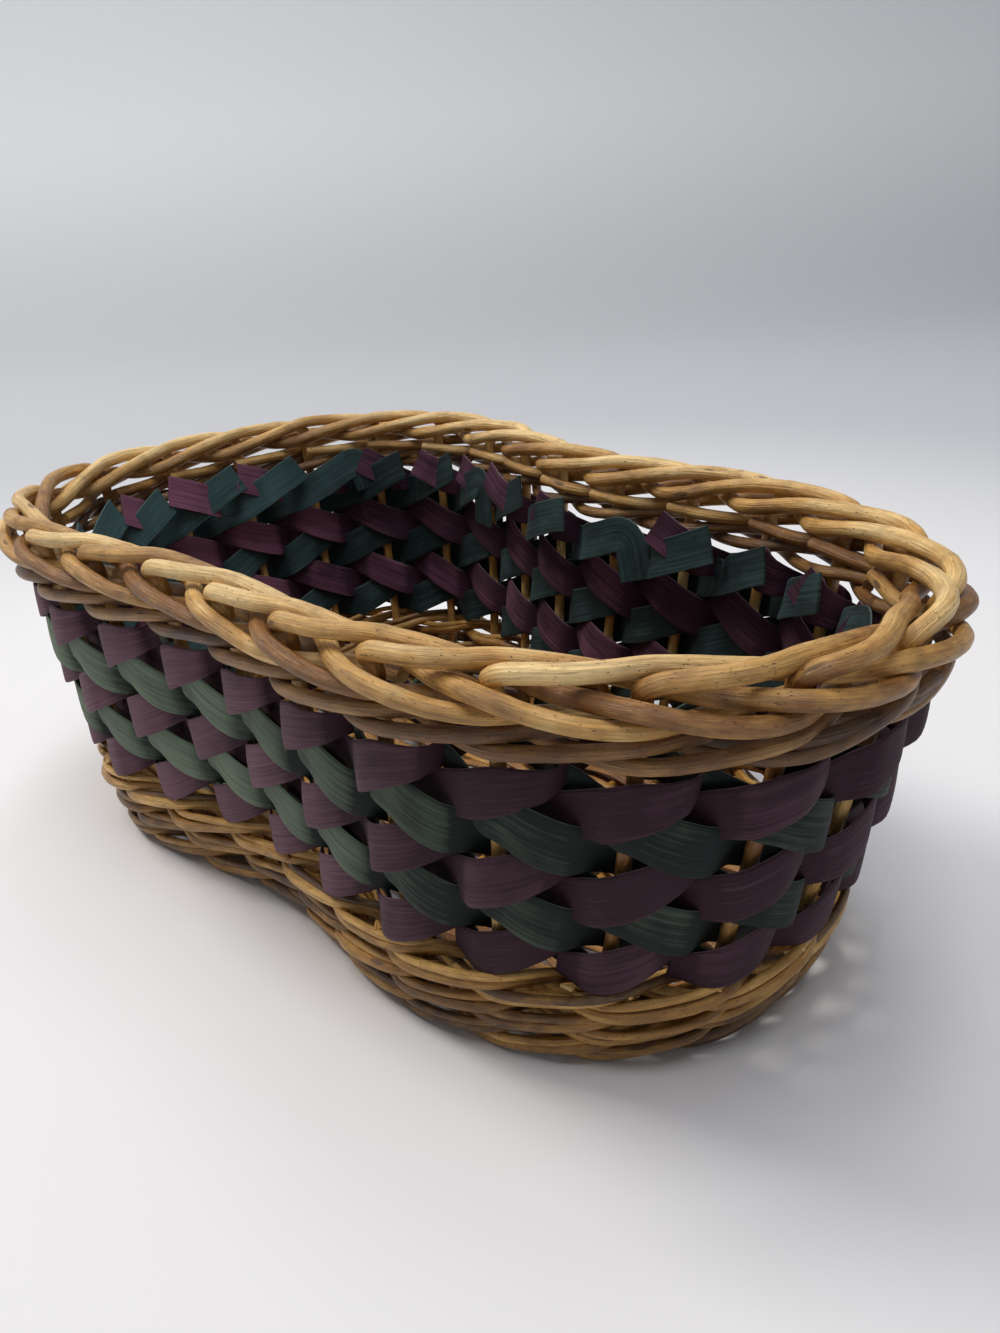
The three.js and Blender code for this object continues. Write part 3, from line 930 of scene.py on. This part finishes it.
@dataclass
class Wale:
    """Three rods that run round the basket together, each behind one stake and before two."""

    willow: Willow
    finish: bpy.types.Material
    name: str
    node: str
    slot: str
    diameter: float
    middle: float
    stake: float = 5.0
    stake_room: float = 1.2
    rod_room: float = 0.5
    bulge: float = 1.2
    mid_bay: float = 0.25
    samples_per_bay: int = 12
    drift: float = 0.2
    # A thinner rod laid in beside each one: its thickness, and how far it sinks in and lies back.
    companion: float = 0.0
    companion_sink: float = 0.4
    companion_back: float = 0.3
    # Short trimmed ends above the band, with the finish of the rods that they belong to.
    stubs: int = 0
    stub_finish: Optional[bpy.types.Material] = None
    stub_samples: int = 6
    # The least and most of a stub's length in bays, rise, height, inner and outer reach, and thickness.
    stub_bays: Tuple[float, float] = (0.07, 0.17)
    stub_rises: Tuple[float, float] = (-1.0, 1.5)
    stub_heights: Tuple[float, float] = (-0.5, 2.5)
    stub_inner: Tuple[float, float] = (3.5, 5)
    stub_outer: Tuple[float, float] = (5.5, 7.3)
    stub_sizes: Tuple[float, float] = (1.3, 2.1)
    stub_drift: float = 0.03
    # Cut ends laid in beside the band's rods: places along one, and its reach there as shares.
    joints: int = 0
    joint_samples: int = 22
    joint_places: Tuple[float, ...] = (0.0, 0.3, 0.6, 1.0)
    joint_reaches: Tuple[float, ...] = (-0.5, 0.5, 0.98, 1.12)
    # Bays past a stake at which one starts, and the least and most of its length in bays, its height
    # off the band's middle and its rise. Its thickness runs from the first share to the second.
    joint_start: float = 0.35
    joint_bays: Tuple[float, float] = (0.8, 1.3)
    joint_heights: Tuple[float, float] = (-2.6, 2.2)
    joint_rises: Tuple[float, float] = (-1, 1)
    joint_sizes: Tuple[float, float] = (0.8, 0.95)
    joint_drift: float = 0.1

    def build(self) -> List[bpy.types.Object]:
        """Make the three rods."""
        return [self.rod(strand) for strand in range(3)]

    def rod(self, strand: int) -> bpy.types.Object:
        """Make one rod.

        Args:
            strand: Which of the three.

        Returns:
            The rod, in place of its CAD node.
        """
        front = self.stake / 2 + self.diameter / 2 + self.stake_room
        between = -self.mid_bay * front
        lift = (self.diameter + self.rod_room) / 2
        # Every half bay of the three bays in which the weave repeats.
        reach = np.array([-front, between, front, front + self.bulge, front, between])
        rise = np.array([0, -lift, -lift, 0, lift, lift])
        turns = WALL.stakes // 3
        stops = np.arange(-len(reach), len(reach) * (turns + 1)) / 2
        table = np.stack([np.tile(reach, turns + 2), np.tile(rise, turns + 2)], 1)
        at = np.arange(WALL.stakes * self.samples_per_bay) / self.samples_per_bay
        out, up = glide(stops, table, at).T
        name = f"{self.name}_{strand + 1:02d}"
        rods = [(name, self.diameter, 0.0, 0.0)]
        if self.companion:
            above = (self.diameter + self.companion) / 2 - self.companion_sink
            rods.append(("companion", self.companion, above, self.companion_back))
        parts = [
            self.willow.rod(
                label, at + strand, self.middle + up + above, out - back, np.full(len(at), size),
                self.finish, True, self.drift,
            )
            for label, size, above, back in rods
        ]
        parts += [self.stub() for _ in range(self.stubs)]
        parts += [self.joint() for _ in range(self.joints)]
        piece = merged(name, parts)
        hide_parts(f"{self.node}_{strand + 1:02d}")
        return piece

    def joint(self) -> bpy.types.Object:
        """Make the cut end of a rod laid in beside another.

        Returns:
            A short rod, from behind one stake to before the next.
        """
        rng = self.willow.rng
        part = np.linspace(0, 1, self.joint_samples)
        bays = rng.integers(0, WALL.stakes) + self.joint_start + part * rng.uniform(*self.joint_bays)
        out = self.stake / 2 + self.diameter / 2 + self.bulge
        reach = glide(np.array(self.joint_places), np.array(self.joint_reaches) * out, part)
        height = self.middle + rng.uniform(*self.joint_heights) + rng.uniform(*self.joint_rises) * part
        size = self.diameter * np.linspace(*self.joint_sizes, self.joint_samples)
        return self.willow.rod("joint", bays, height, reach, size, self.finish, drift=self.joint_drift)

    def stub(self) -> bpy.types.Object:
        """Make one trimmed end that sticks out above the band.

        Returns:
            A very short rod, a little thinner than a match.
        """
        rng = self.willow.rng
        place = rng.uniform(0, WALL.stakes)
        length, rise = rng.uniform(*self.stub_bays), rng.uniform(*self.stub_rises)
        part = np.linspace(0, 1, self.stub_samples)
        height = self.middle + self.diameter + rng.uniform(*self.stub_heights) + rise * part
        inner, outer = rng.uniform(*self.stub_inner), rng.uniform(*self.stub_outer)
        size = np.full(self.stub_samples, rng.uniform(*self.stub_sizes))
        return self.willow.rod(
            "stub", place + length * part, height, inner + (outer - inner) * part, size,
            self.stub_finish, drift=self.stub_drift,
        )


@dataclass
class Foot:
    """The wales that the wall stands on, with trimmed ends above the top one."""

    willow: Willow
    finish: bpy.types.Material
    stub_finish: bpy.types.Material
    middles: Tuple[float, ...] = (4.95, 16.6, 28.2)
    diameter: float = 4.3
    rod_room: float = 1.4
    companion: float = 2.7
    drift: float = 0.75
    stubs: int = 16

    def build(self) -> List[bpy.types.Object]:
        """Make the wales from the floor up.

        Returns:
            The rods of all of them.
        """
        rods = []
        for number, middle in enumerate(self.middles, 1):
            rods += Wale(
                self.willow,
                self.finish,
                name=f"willow_foot_wale_{number}",
                node=f"foot_wale_{number}_rod",
                slot="dark_weaver",
                diameter=self.diameter,
                middle=middle,
                rod_room=self.rod_room,
                drift=self.drift,
                companion=self.companion,
                stubs=self.stubs if middle == self.middles[-1] else 0,
                stub_finish=self.stub_finish,
            ).build()
        return rods


# Splints


class Dye(Enum):
    """The two dyes: purple splints climb as they go round, green ones fall."""

    PURPLE = 1
    GREEN = -1


@dataclass
class SplintWall:
    """The plaited wall of purple and green splints."""

    maker: StrandMaker
    rng: np.random.Generator
    finishes: Dict[Dye, bpy.types.Material]
    width: float = 14.0
    thickness: float = 0.9
    squareness: float = 7.0
    section_points: int = 24
    # How far a splint leans out at its edge, and how far its free end leans in, in degrees.
    lean: float = 9.0
    end_lean: float = 8.0
    # The reach, in millimetres, at which a splint has its whole lean or its whole width.
    lean_reach: float = 6.0
    width_reach: float = 5.5
    samples_per_bay: int = 18
    # The reach inside the wall as a share of that outside, and how much it differs from turn to turn.
    inner_share: float = 0.82
    reach_spread: float = 0.07
    # Rows up the wall at which a splint starts, and at which it starts to leave the weave.
    first_row: float = 0.05
    purple_leaves: float = 4.88
    green_leaves: float = 4.5
    # Bays by which a purple splint lies behind the rows that it has climbed.
    purple_lag: float = 0.5
    # Half the height it fills where hidden and what is added where it shows, as shares of its width.
    height_shares: Tuple[float, float] = (0.48, 0.05)
    # How far it may pass the wall's bottom and its top, until it is so loose that nothing holds it.
    below_bottom: float = 1.2
    above_top: float = 0.4
    held_until: float = 0.85
    unheld: float = 100
    # Bays over which it comes loose, and the bay from which and over which it squares to its own way.
    loosening: float = 0.3
    squaring: Tuple[float, float] = (0.1, 0.5)
    # Samples between two free values of each drift, and its usual size.
    height_drift: Tuple[float, float] = (9, 0.3)
    width_drift: Tuple[float, float] = (5, 0.01)
    bows: Tuple[float, float] = (0.1, 0.5)
    # How far in a free end lies, how far it drifts in over a bay and in all, and what divides
    # neighbours.
    end_depth: float = 9.6
    end_drift: float = 7.0
    end_drift_limit: float = 4.2
    end_step: float = 1.3
    folded_share: float = 0.35
    fold_length: float = 13.0
    # The least and most of a free end's straight part, the rest of its length, and its turn in radians.
    purple_straight: Tuple[float, float] = (4, 20)
    green_straight: Tuple[float, float] = (8, 24)
    folded_rest: Tuple[float, float] = (18, 28)
    plain_rest: Tuple[float, float] = (4, 12)
    folded_turn: Tuple[float, float] = (1.2, 2.2)
    plain_turn: Tuple[float, float] = (-0.25, 0.3)
    # In metres, and in lumps per metre.
    lump_height: float = 0.0003
    lump_scale: float = 90.0
    # Between these bays, and over so many more, the splints are paler: partly the outer face faded in the
    # light, and partly painted light on the side the lamps light. Elsewhere the tone is lowered as painted
    # shade.
    faded_lit_bays: Tuple[float, float] = (12.5, 22.5)
    faded_lit_spread: float = 4.0
    tones: Tuple[float, float] = (-0.02, 0.24)
    # How far the fading, the painted light and the painted shade move the tone.
    tone_swing: float = 0.6
    # The reach from which a splint counts as shown, and over how much more. Below it, painted shade darkens
    # the splint where it passes between the others.
    unshaded_reach: Tuple[float, float] = (1.0, 3.5)
    # Bays past a stake, and the reach there. A splint passes stakes outside and inside by turns.
    purple_turn: Tuple[Tuple[float, float], ...] = (
        (-0.15, 5.6),
        (0.02, 6.3),
        (0.2, 5.9),
        (0.38, 3.6),
        (0.55, 0.6),
        (0.7, -3.2),
    )
    green_turn: Tuple[Tuple[float, float], ...] = (
        (-0.12, 3.1),
        (0.06, 3.8),
        (0.24, 4.9),
        (0.44, 5.0),
        (0.6, 3.6),
        (0.75, 0.0),
    )

    def build(self) -> List[bpy.types.Object]:
        """Make every splint.

        Returns:
            The splints, in place of the CAD's trios.
        """
        pieces = [self.splint(dye, index) for dye in Dye for index in range(WALL.stakes)]
        self.stand_in()
        return pieces

    def reach(self, dye: Dye, run: Array) -> Array:
        """Find how far out a splint lies.

        Args:
            dye: Its colour.
            run: Bays past its first stake.

        Returns:
            The reach at each place.
        """
        turn = self.purple_turn if dye is Dye.PURPLE else self.green_turn
        stops, reaches = [], []
        for stake in range(-2, WALL.rows + 3):
            outer = (stake % 2 == 0) == (dye is Dye.PURPLE)
            swell = self.rng.normal(1, self.reach_spread) * (1 if outer else self.inner_share)
            for bay, reach in turn:
                stops.append(stake + bay)
                reaches.append(reach * swell if outer else -reach * swell)
        return glide(np.array(stops), np.array(reaches), run)

    def splint(self, dye: Dye, index: int) -> bpy.types.Object:
        """Make one splint.

        Args:
            dye: Its colour, which sets the way it slants.
            index: The first stake that it passes.

        Returns:
            The splint.
        """
        climbing = dye is Dye.PURPLE
        way, leave = (1, self.purple_leaves) if climbing else (-1, self.green_leaves)
        climb = np.linspace(self.first_row, WALL.rows, WALL.rows * self.samples_per_bay)
        woven = climb - self.purple_lag if climbing else WALL.rows - climb
        onward, rise, slope, length = self.free_end(dye)
        run = np.concatenate([woven, woven[-1] + way * onward])
        middle = np.concatenate([WALL.bottom + WALL.row_height * climb, WALL.top + rise])
        past = np.concatenate([np.maximum(climb - leave, 0), WALL.rows - leave + length / WALL.bay])
        slope = np.concatenate([np.full(len(climb), self.slope), slope])

        loose = self.ease(past / self.loosening)
        depth = self.end_depth + np.minimum(self.end_drift * past, self.end_drift_limit)
        depth += self.end_step * (index % 2)
        reach = self.reach(dye, run) * (1 - loose) - depth * loose
        lean = np.radians(self.lean) * reach / self.lean_reach * (1 - loose)
        lean -= np.radians(self.end_lean) * loose
        shown = np.clip(np.abs(reach) / self.width_reach, 0, 1)
        hidden_share, shown_share = self.height_shares
        half = self.width / math.cos(self.slope) * (hidden_share + shown_share * shown)
        low = np.maximum(middle - half, WALL.bottom - self.below_bottom)
        limit = WALL.top + np.where(loose > self.held_until, self.unheld, self.above_top)
        high = self.soften(np.minimum(middle + half, limit))
        start, spread = self.squaring
        square = self.ease((past - start) / spread)
        count = len(run)
        centre = (low + high) / 2 * (1 - square) + middle * square
        centre += wander(self.rng, count, *self.height_drift)
        width = self.width * (1 + wander(self.rng, count, *self.width_drift))
        side = -way * np.sin(slope) * width * square
        tall = (high - low) * (1 - square) + np.cos(slope) * width * square
        bays = index + run

        points = WALL.place(bays, centre, reach)
        level = WALL.outward(bays, centre)
        along = np.stack([-level[:, 1], level[:, 0], level[:, 2]], 1)
        up = WALL.place(bays, centre + 1, reach) - points
        up /= np.linalg.norm(up, axis=1, keepdims=True)
        across = along * side[:, None] + up * tall[:, None]
        wide = np.linalg.norm(across, axis=1)
        up = across / wide[:, None]
        out = level - up * np.sum(level * up, 1, keepdims=True)
        out /= np.linalg.norm(out, axis=1, keepdims=True)
        turn = lean[:, None]
        upward = up * np.cos(turn) - out * np.sin(turn)
        outward = out * np.cos(turn) + up * np.sin(turn)
        if not climbing:
            points, outward, upward, wide = points[::-1], outward[::-1], upward[::-1], wide[::-1]
        name = f"{dye.name.lower()}_splint_{index + 1:02d}"
        tone = self.tone(bays, reach)
        if not climbing:
            tone = tone[::-1]
        bow = float(self.rng.uniform(*self.bows))
        strand = Strand(name, points, outward, upward, self.thickness, wide, bow=bow, tone=tone)
        piece = self.maker.make(
            strand, self.finishes[dye], Section_Points=self.section_points, Squareness=self.squareness,
            Lump_Height=self.lump_height, Lump_Scale=self.lump_scale,
            Seed=float(self.rng.uniform(0, GRAIN_SHIFT)),
        )
        return piece

    def tone(self, bays: Array, reach: Array) -> Array:
        """Find how pale a splint is along its way.

        Args:
            bays: Places round the wall.
            reach: How far out the splint lies there.

        Returns:
            Its tone: highest where the outer face has paled and painted light is added, lowest where it
                passes between the others, as painted shade.
        """
        turn = WALL.stakes
        apart = np.abs(np.mod(bays - sum(self.faded_lit_bays) / 2 + turn / 2, turn) - turn / 2)
        from_edge = (self.faded_lit_bays[1] - self.faded_lit_bays[0] + self.faded_lit_spread) / 2 - apart
        # Paler on the side the lamps light: real fading together with painted light.
        faded_and_lit = self.ease(from_edge / self.faded_lit_spread)
        start, spread = self.unshaded_reach
        # Painted shade: darker where the splint passes between the others.
        shown = self.ease((np.abs(reach) - start) / spread)
        return self.rng.uniform(*self.tones) + self.tone_swing * (faded_and_lit + shown - 1)

    @property
    def slope(self) -> float:
        """The angle at which the splints climb."""
        return math.atan2(WALL.row_height, WALL.bay)

    def free_end(self, dye: Dye) -> Tuple[Array, Array, Array, Array]:
        """Lay out the end that a splint leaves inside, above the wall's top.

        Args:
            dye: Its colour. Purple ends point on; some green ones fold over and hang down.

        Returns:
            Bays run, height gained, slope and length at each place past the wall's top.
        """
        rng = self.rng
        folded = dye is Dye.GREEN and rng.random() < self.folded_share
        straight = rng.uniform(*(self.purple_straight if dye is Dye.PURPLE else self.green_straight))
        whole = straight + rng.uniform(*(self.folded_rest if folded else self.plain_rest))
        turn = rng.uniform(*(self.folded_turn if folded else self.plain_turn))
        step = WALL.bay / self.samples_per_bay
        length = np.arange(step, whole, step)
        slope = self.slope - turn * self.ease((length - straight) / self.fold_length)
        return np.cumsum(np.cos(slope)) * step / WALL.bay, np.cumsum(np.sin(slope)) * step, slope, length

    @staticmethod
    def ease(values: Array) -> Array:
        """Hold values to 0 and 1 with a gentle start and end."""
        part = np.clip(values, 0, 1)
        return part * part * (3 - 2 * part)

    @staticmethod
    def soften(values: Array) -> Array:
        """Round off sudden steps in a row of values."""
        padded = np.pad(values, 2, mode="edge")
        return np.convolve(padded, np.ones(5) / 5, mode="valid")

    def stand_in(self) -> None:
        """Let the splints stand for the CAD's trios.
        """
        for trio in range(WALL.stakes // 3):
            for dye, other in ((Dye.PURPLE, Dye.GREEN), (Dye.GREEN, Dye.PURPLE)):
                node = f"splint_trio_{dye.name.lower()}_{trio + 1:02d}"
                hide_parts(node)
                for side in (-1, 1):
                    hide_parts(node)


# The base


@dataclass
class Base:
    """Cross sticks pierced by long ones, rods woven over and under them, and an edge."""

    willow: Willow
    stick_finish: bpy.types.Material
    weave_finish: bpy.types.Material
    stick: float = 3.4
    weaver: float = 2.8
    weaver_width: float = 4.3
    edge: float = 3.3
    middle: float = 5.5
    swing: float = 3.7
    rows_per_gap: int = 7
    rows_per_side: int = 24
    long_spacing: float = 32
    cross_spacing: float = 40
    cross_middle: float = -5
    cross_per_side: int = 3
    # How far inside the edge's middle a cross stick ends, and a woven rod.
    stick_inset: float = 2.5
    row_inset: float = 0.5
    edge_reach: float = -10.5
    edge_samples: int = 324
    # The base lies within this length on either side of the middle.
    reach_along: float = 150
    row_samples: int = 241
    shortest_row: int = 6
    outline_samples: int = 400
    stick_samples: int = 40
    size_samples: float = 12
    size_drift: float = 0.02
    section_points: int = 9
    tones: Tuple[float, float] = (0.3, 0.7)
    # In metres.
    lump_height: float = 0.0002

    def crossing(self, x: Array, side: int) -> Array:
        """Find how far the base reaches across, at places along it.

        Args:
            x: Places along the basket.
            side: 1 for the far side, -1 for the near side.

        Returns:
            Y of the base's edge.
        """
        half = WALL.stakes / 2
        bays = np.linspace(0 if side > 0 else 2 * half, half, self.outline_samples)
        edge = WALL.place(bays, self.middle, self.edge_reach)
        order = np.argsort(edge[:, 0])
        return np.interp(x, edge[order, 0], edge[order, 1])

    def lying(self, name: str, points: Array, size: float, wide: float, closed: bool = False) -> Strand:
        """Describe a rod that lies in the base.

        Args:
            name: The rod's name.
            points: Its path.
            size: Its height.
            wide: Its width.
            closed: Whether it is a ring.

        Returns:
            The rod before it has a surface.
        """
        up = np.broadcast_to(np.array([0.0, 0.0, 1.0]), points.shape)
        outward, upward = rod_frame(points, up, closed)
        rng = self.willow.rng
        drift = 0.0 if closed else self.size_drift
        thick = size * (1 + wander(rng, len(points), self.size_samples, drift))
        tone = float(rng.uniform(*self.tones))
        knots = self.willow.knots(points)
        return Strand(name, points, outward, upward, thick, wide, closed, tone=tone, knots=knots)

    def made(self, strand: Strand, finish: bpy.types.Material) -> bpy.types.Object:
        """Give a lying rod its surface.

        Args:
            strand: The rod before it has one.
            finish: The material.

        Returns:
            The rod.
        """
        sizes = {"Section_Points": self.section_points, "Lump_Height": self.lump_height}
        seed = float(self.willow.rng.uniform(0, GRAIN_SHIFT))
        return self.willow.maker.make(strand, finish, Seed=seed, **sizes)

    def sticks(self) -> List[bpy.types.Object]:
        """Make the sticks.

        Returns:
            The cross sticks, and the long sticks that pierce them.
        """
        paths = []
        spread = np.linspace(0, 1, self.stick_samples)[:, None]
        for place in range(-self.cross_per_side, self.cross_per_side + 1):
            x = place * self.cross_spacing + self.cross_middle + WALL.centre[0]
            near, far = (self.crossing(np.array([x]), side)[0] for side in (-1, 1))
            start = np.array([x, near + self.stick_inset, self.middle])
            end = np.array([x, far - self.stick_inset, self.middle])
            paths.append(start * (1 - spread) + end * spread)
        paths += [self.row(place * self.long_spacing + WALL.centre[1], 0) for place in (-1, 0, 1)]
        return [
            self.made(self.lying("stick", path, self.stick, self.stick), self.stick_finish) for path in paths
        ]

    def row(self, y: float, side: int) -> Array:
        """Find the path of a rod that lies along the base.

        Args:
            y: Its place across.
            side: 1 or -1 to pass over or under the middle stick, 0 to lie level.

        Returns:
            The path, inside the base's edge.
        """
        x = np.linspace(-self.reach_along, self.reach_along, self.row_samples)
        inside = (self.crossing(x, -1) + self.row_inset < y) & (self.crossing(x, 1) - self.row_inset > y)
        x = x[inside]
        phase = (x - self.cross_middle - WALL.centre[0]) / self.cross_spacing
        height = self.middle + side * self.swing * np.cos(math.pi * phase)
        return np.stack([x, np.full(len(x), y), height], 1)

    def weavers(self) -> List[bpy.types.Object]:
        """Make the woven rods.

        Returns:
            The rods along the base, and those of its edge.
        """
        parts = []
        pitch = self.long_spacing / self.rows_per_gap
        step = 2 * self.reach_along / (self.row_samples - 1)
        for number in range(-self.rows_per_side, self.rows_per_side + 1):
            if abs(number) in (0, self.rows_per_gap):
                continue
            path = self.row(number * pitch + WALL.centre[1], 1 if number % 2 == 0 else -1)
            breaks = np.flatnonzero(np.diff(path[:, 0]) > 1.5 * step) + 1
            for part in np.split(path, breaks):
                if len(part) > self.shortest_row:
                    strand = self.lying("weaver", part, self.weaver, self.weaver_width)
                    parts.append(self.made(strand, self.weave_finish))
        bays = np.linspace(0, WALL.stakes, self.edge_samples + 1)[:-1]
        for level in (-1, 0, 1):
            path = WALL.place(bays, self.middle, self.edge_reach)
            path[:, 2] += level * self.edge
            strand = self.lying("edge", path, self.edge, self.edge, True)
            parts.append(self.made(strand, self.weave_finish))
        return parts

    def build(self) -> List[bpy.types.Object]:
        """Make the base.

        Returns:
            The sticks as one piece and the weave as another.
        """
        made = []
        for name, parts, node, slot in (
            ("willow_base_sticks", self.sticks(), "base_sticks", "base_stick"),
            ("willow_base_weave", self.weavers(), "base_panel", "base_weave"),
        ):
            piece = merged(name, parts)
            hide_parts(node)
            made.append(piece)
        return made


def merged(name: str, parts: Sequence[bpy.types.Object]) -> bpy.types.Object:
    """Join finished meshes into one piece.

    Args:
        name: The piece's name.
        parts: The meshes.

    Returns:
        The one piece.
    """
    with bpy.context.temp_override(
        active_object=parts[0], selected_editable_objects=list(parts), selected_objects=list(parts)
    ):
        bpy.ops.object.join()
    parts[0].name = name
    parts[0].data.name = name
    return parts[0]


# The studio


@dataclass(frozen=True)
class Studio:
    """A pale floor that curves up behind, soft lamps, and a camera at the photograph's angle.

    The floor, the backdrop and the lamps are in metres, and the camera's place is in millimetres.
    """

    eye: Place = (275.9, -207.9, 228.65)
    yaw: float = 0.859
    pitch: float = 0.433
    roll: float = -0.06
    lens: float = 26.5
    front: float = -3.0
    sweep: float = 1.6
    curve: float = 0.8
    curve_steps: int = 12
    top: float = 4.0
    half_width: float = 8.0
    paper: Tuple[str, str] = ("e6e6e8", "eeeded")
    far_paper_shade: str = "bfc2c7"
    backdrop: str = "e0e3e6"
    # Where the paper starts to darken away from the basket, as painted shade, and where it ends; and the
    # same for the height.
    shade_falloff: Tuple[float, float] = (0.25, 0.9)
    rising: Tuple[float, float] = (0.0, 0.5)
    # The sky lights the basket with the first, and shows and mirrors with both together.
    sky: Tuple[float, float] = (0.17, 0.5)
    # Each lamp's name, its place and width in metres, its power in watts, and its colour.
    lamps: Tuple[Tuple[str, Place, float, float, str], ...] = (
        ("key", (-2.1, -0.85, 2.65), 1.1, 62, "fff9f0"),
        ("top", (0.5, -0.35, 3.1), 1.7, 46, "f8f9ff"),
        ("back", (-0.2, 0.45, 1.8), 0.5, 4, "fbfcff"),
    )

    def camera(self) -> None:
        """Place the camera."""
        cos, sin = math.cos, math.sin
        ahead = Vector((-sin(self.yaw) * cos(self.pitch), cos(self.yaw) * cos(self.pitch), -sin(self.pitch)))
        right = Vector((cos(self.yaw), sin(self.yaw), 0))
        up = right.cross(ahead)
        turned = right * cos(self.roll) + up * sin(self.roll)
        upright = up * cos(self.roll) - right * sin(self.roll)
        data = bpy.data.cameras.new("camera")
        data.lens = self.lens
        data.sensor_width = 36
        data.clip_start, data.clip_end = 0.01, 50
        camera = bpy.data.objects.new("camera", data)
        bpy.context.scene.collection.objects.link(camera)
        axes = Matrix((turned, upright, -ahead)).transposed().to_4x4()
        camera.matrix_world = Matrix.Translation(Vector(self.eye) * MM) @ axes
        bpy.context.scene.camera = camera

    def floor(self) -> None:
        """Make the floor and the backdrop as one swept sheet, turned to face the camera."""
        profile = [(self.front, 0.0), (self.sweep, 0.0)]
        for step in range(1, self.curve_steps + 1):
            angle = step / self.curve_steps * math.pi / 2
            run = self.sweep + self.curve * math.sin(angle)
            profile.append((run, self.curve * (1 - math.cos(angle))))
        profile.append((self.sweep + self.curve, self.top))
        ahead = Vector((-math.sin(self.yaw), math.cos(self.yaw), 0))
        across = Vector((math.cos(self.yaw), math.sin(self.yaw), 0))
        points, faces = [], []
        for run, rise in profile:
            for side in (-self.half_width, self.half_width):
                points.append(tuple(ahead * run + across * side + Vector((0, 0, rise))))
        for row in range(len(profile) - 1):
            faces.append((2 * row, 2 * row + 1, 2 * row + 3, 2 * row + 2))
        mesh = bpy.data.meshes.new("floor")
        mesh.from_pydata(points, [], faces)
        mesh.shade_smooth()
        mesh.materials.append(self.paper_material())
        floor = bpy.data.objects.new("floor", mesh)
        bpy.context.scene.collection.objects.link(floor)

    def paper_material(self) -> bpy.types.Material:
        """Make the floor's finish.

        Returns:
            Faintly clouded paper, with painted shade that makes it a little darker away from the basket.
        """
        material, graph = blank_material("pale_paper")
        place = graph.add("ShaderNodeTexCoord").outputs["Object"]
        clouds = graph.noise(place, (3.0, 3.0, 3.0), Detail=3.0)
        paper = graph.mix(clouds, *map(paint, self.paper))
        away = graph.add("ShaderNodeVectorMath", {0: place}, operation="LENGTH").outputs["Value"]
        # Painted shade: the paper darkens away from the basket.
        paper = graph.mix(graph.fade(away, *self.shade_falloff), paper, paint(self.far_paper_shade))
        height = graph.add("ShaderNodeSeparateXYZ", {"Vector": place}).outputs["Z"]
        colour = graph.mix(graph.fade(height, *self.rising), paper, paint(self.backdrop))
        graph.surface({"Base Color": colour, "Roughness": 0.9})
        return material

    def lamp(self, name: str, place: Place, size: float, power: float, tint: str) -> None:
        """Hang one soft lamp that faces the basket.

        Args:
            name: The lamp's name.
            place: Where it hangs, in metres.
            size: Its width in metres.
            power: Its power in watts.
            tint: Its colour.
        """
        data = bpy.data.lights.new(name, "AREA")
        data.size = size
        data.energy = power
        data.color = paint(tint)[:3]
        lamp = bpy.data.objects.new(name, data)
        aim = Vector((0, 0, WALL.crown / 2 * MM)) - Vector(place)
        turn = aim.to_track_quat("-Z", "Y").to_matrix().to_4x4()
        lamp.matrix_world = Matrix.Translation(Vector(place)) @ turn
        bpy.context.scene.collection.objects.link(lamp)

    def light(self) -> None:
        """Hang the lamps and set the sky."""
        for lamp in self.lamps:
            self.lamp(*lamp)
        world = bpy.data.worlds.new("sky")
        bpy.context.scene.world = world
        world.use_nodes = True
        graph = Graph(world.node_tree)
        seen = graph.add("ShaderNodeLightPath").outputs
        direct = graph.math("MAXIMUM", seen["Is Camera Ray"], seen["Is Glossy Ray"])
        direct = graph.math("MAXIMUM", direct, seen["Is Transmission Ray"])
        light, shown = self.sky
        strength = graph.math("MULTIPLY_ADD", direct, shown, light)
        sky = graph.add("ShaderNodeBackground", {"Color": paint("eef1f6"), "Strength": strength})
        graph.add("ShaderNodeOutputWorld", {"Surface": sky.outputs[0]})
        bpy.context.scene.view_settings.view_transform = "Standard"


def main() -> None:
    """Build the basket piece by piece, then the studio."""
    logging.basicConfig(level=logging.INFO, format="%(name)s: %(message)s")
    studio = Studio()
    studio.camera()
    maker = StrandMaker()
    rng = np.random.default_rng(CHANCE_SEED)
    willow = Willow(maker, rng)
    crown = WillowFinish("willow_border", "efcd8e", "c89953", "855828").build()
    # The wale's willow is painted darker than the border's, as painted shade for the shadow under the
    # border.
    shaded_wale = WillowFinish("willow_wale_painted_shade", "b0864d", "7e562c", "4c3018").build()
    foot = WillowFinish("willow_foot", "dcae62", "a3742f", "4d3012").build()
    base = WillowFinish("willow_base", "b78d51", "9a6c36", "6f4521").build()
    dyes = {
        Dye.PURPLE: SplintFinish("purple_splint", "6e4f5b", "321c26", "8a5a70", "38202e", "75626a").build(),
        Dye.GREEN: SplintFinish("green_splint", "6d7c68", "161f1d", "4d696b", "182728", "66756b").build(),
    }
    upper_wale = Wale(
        willow,
        shaded_wale,
        name="willow_upper_wale",
        node="upper_wale_rod",
        slot="willow_weaver",
        diameter=4.3,
        middle=116.55,
        drift=0.3,
        joints=4,
    )
    count = 0
    for assembly in (
        Stakes(willow, crown),
        Foot(willow, foot, stub_finish=crown),
        upper_wale,
        SplintWall(maker, rng, dyes),
        Base(willow, foot, base),
    ):
        for piece in assembly.build():
            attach(piece, "root")
            LOG.info("%s: %s, %d faces", type(assembly).__name__, piece.name, len(piece.data.polygons))
            count += 1
    studio.floor()
    studio.light()
    LOG.info("%d pieces", count)


if __name__ == "__main__":
    main()
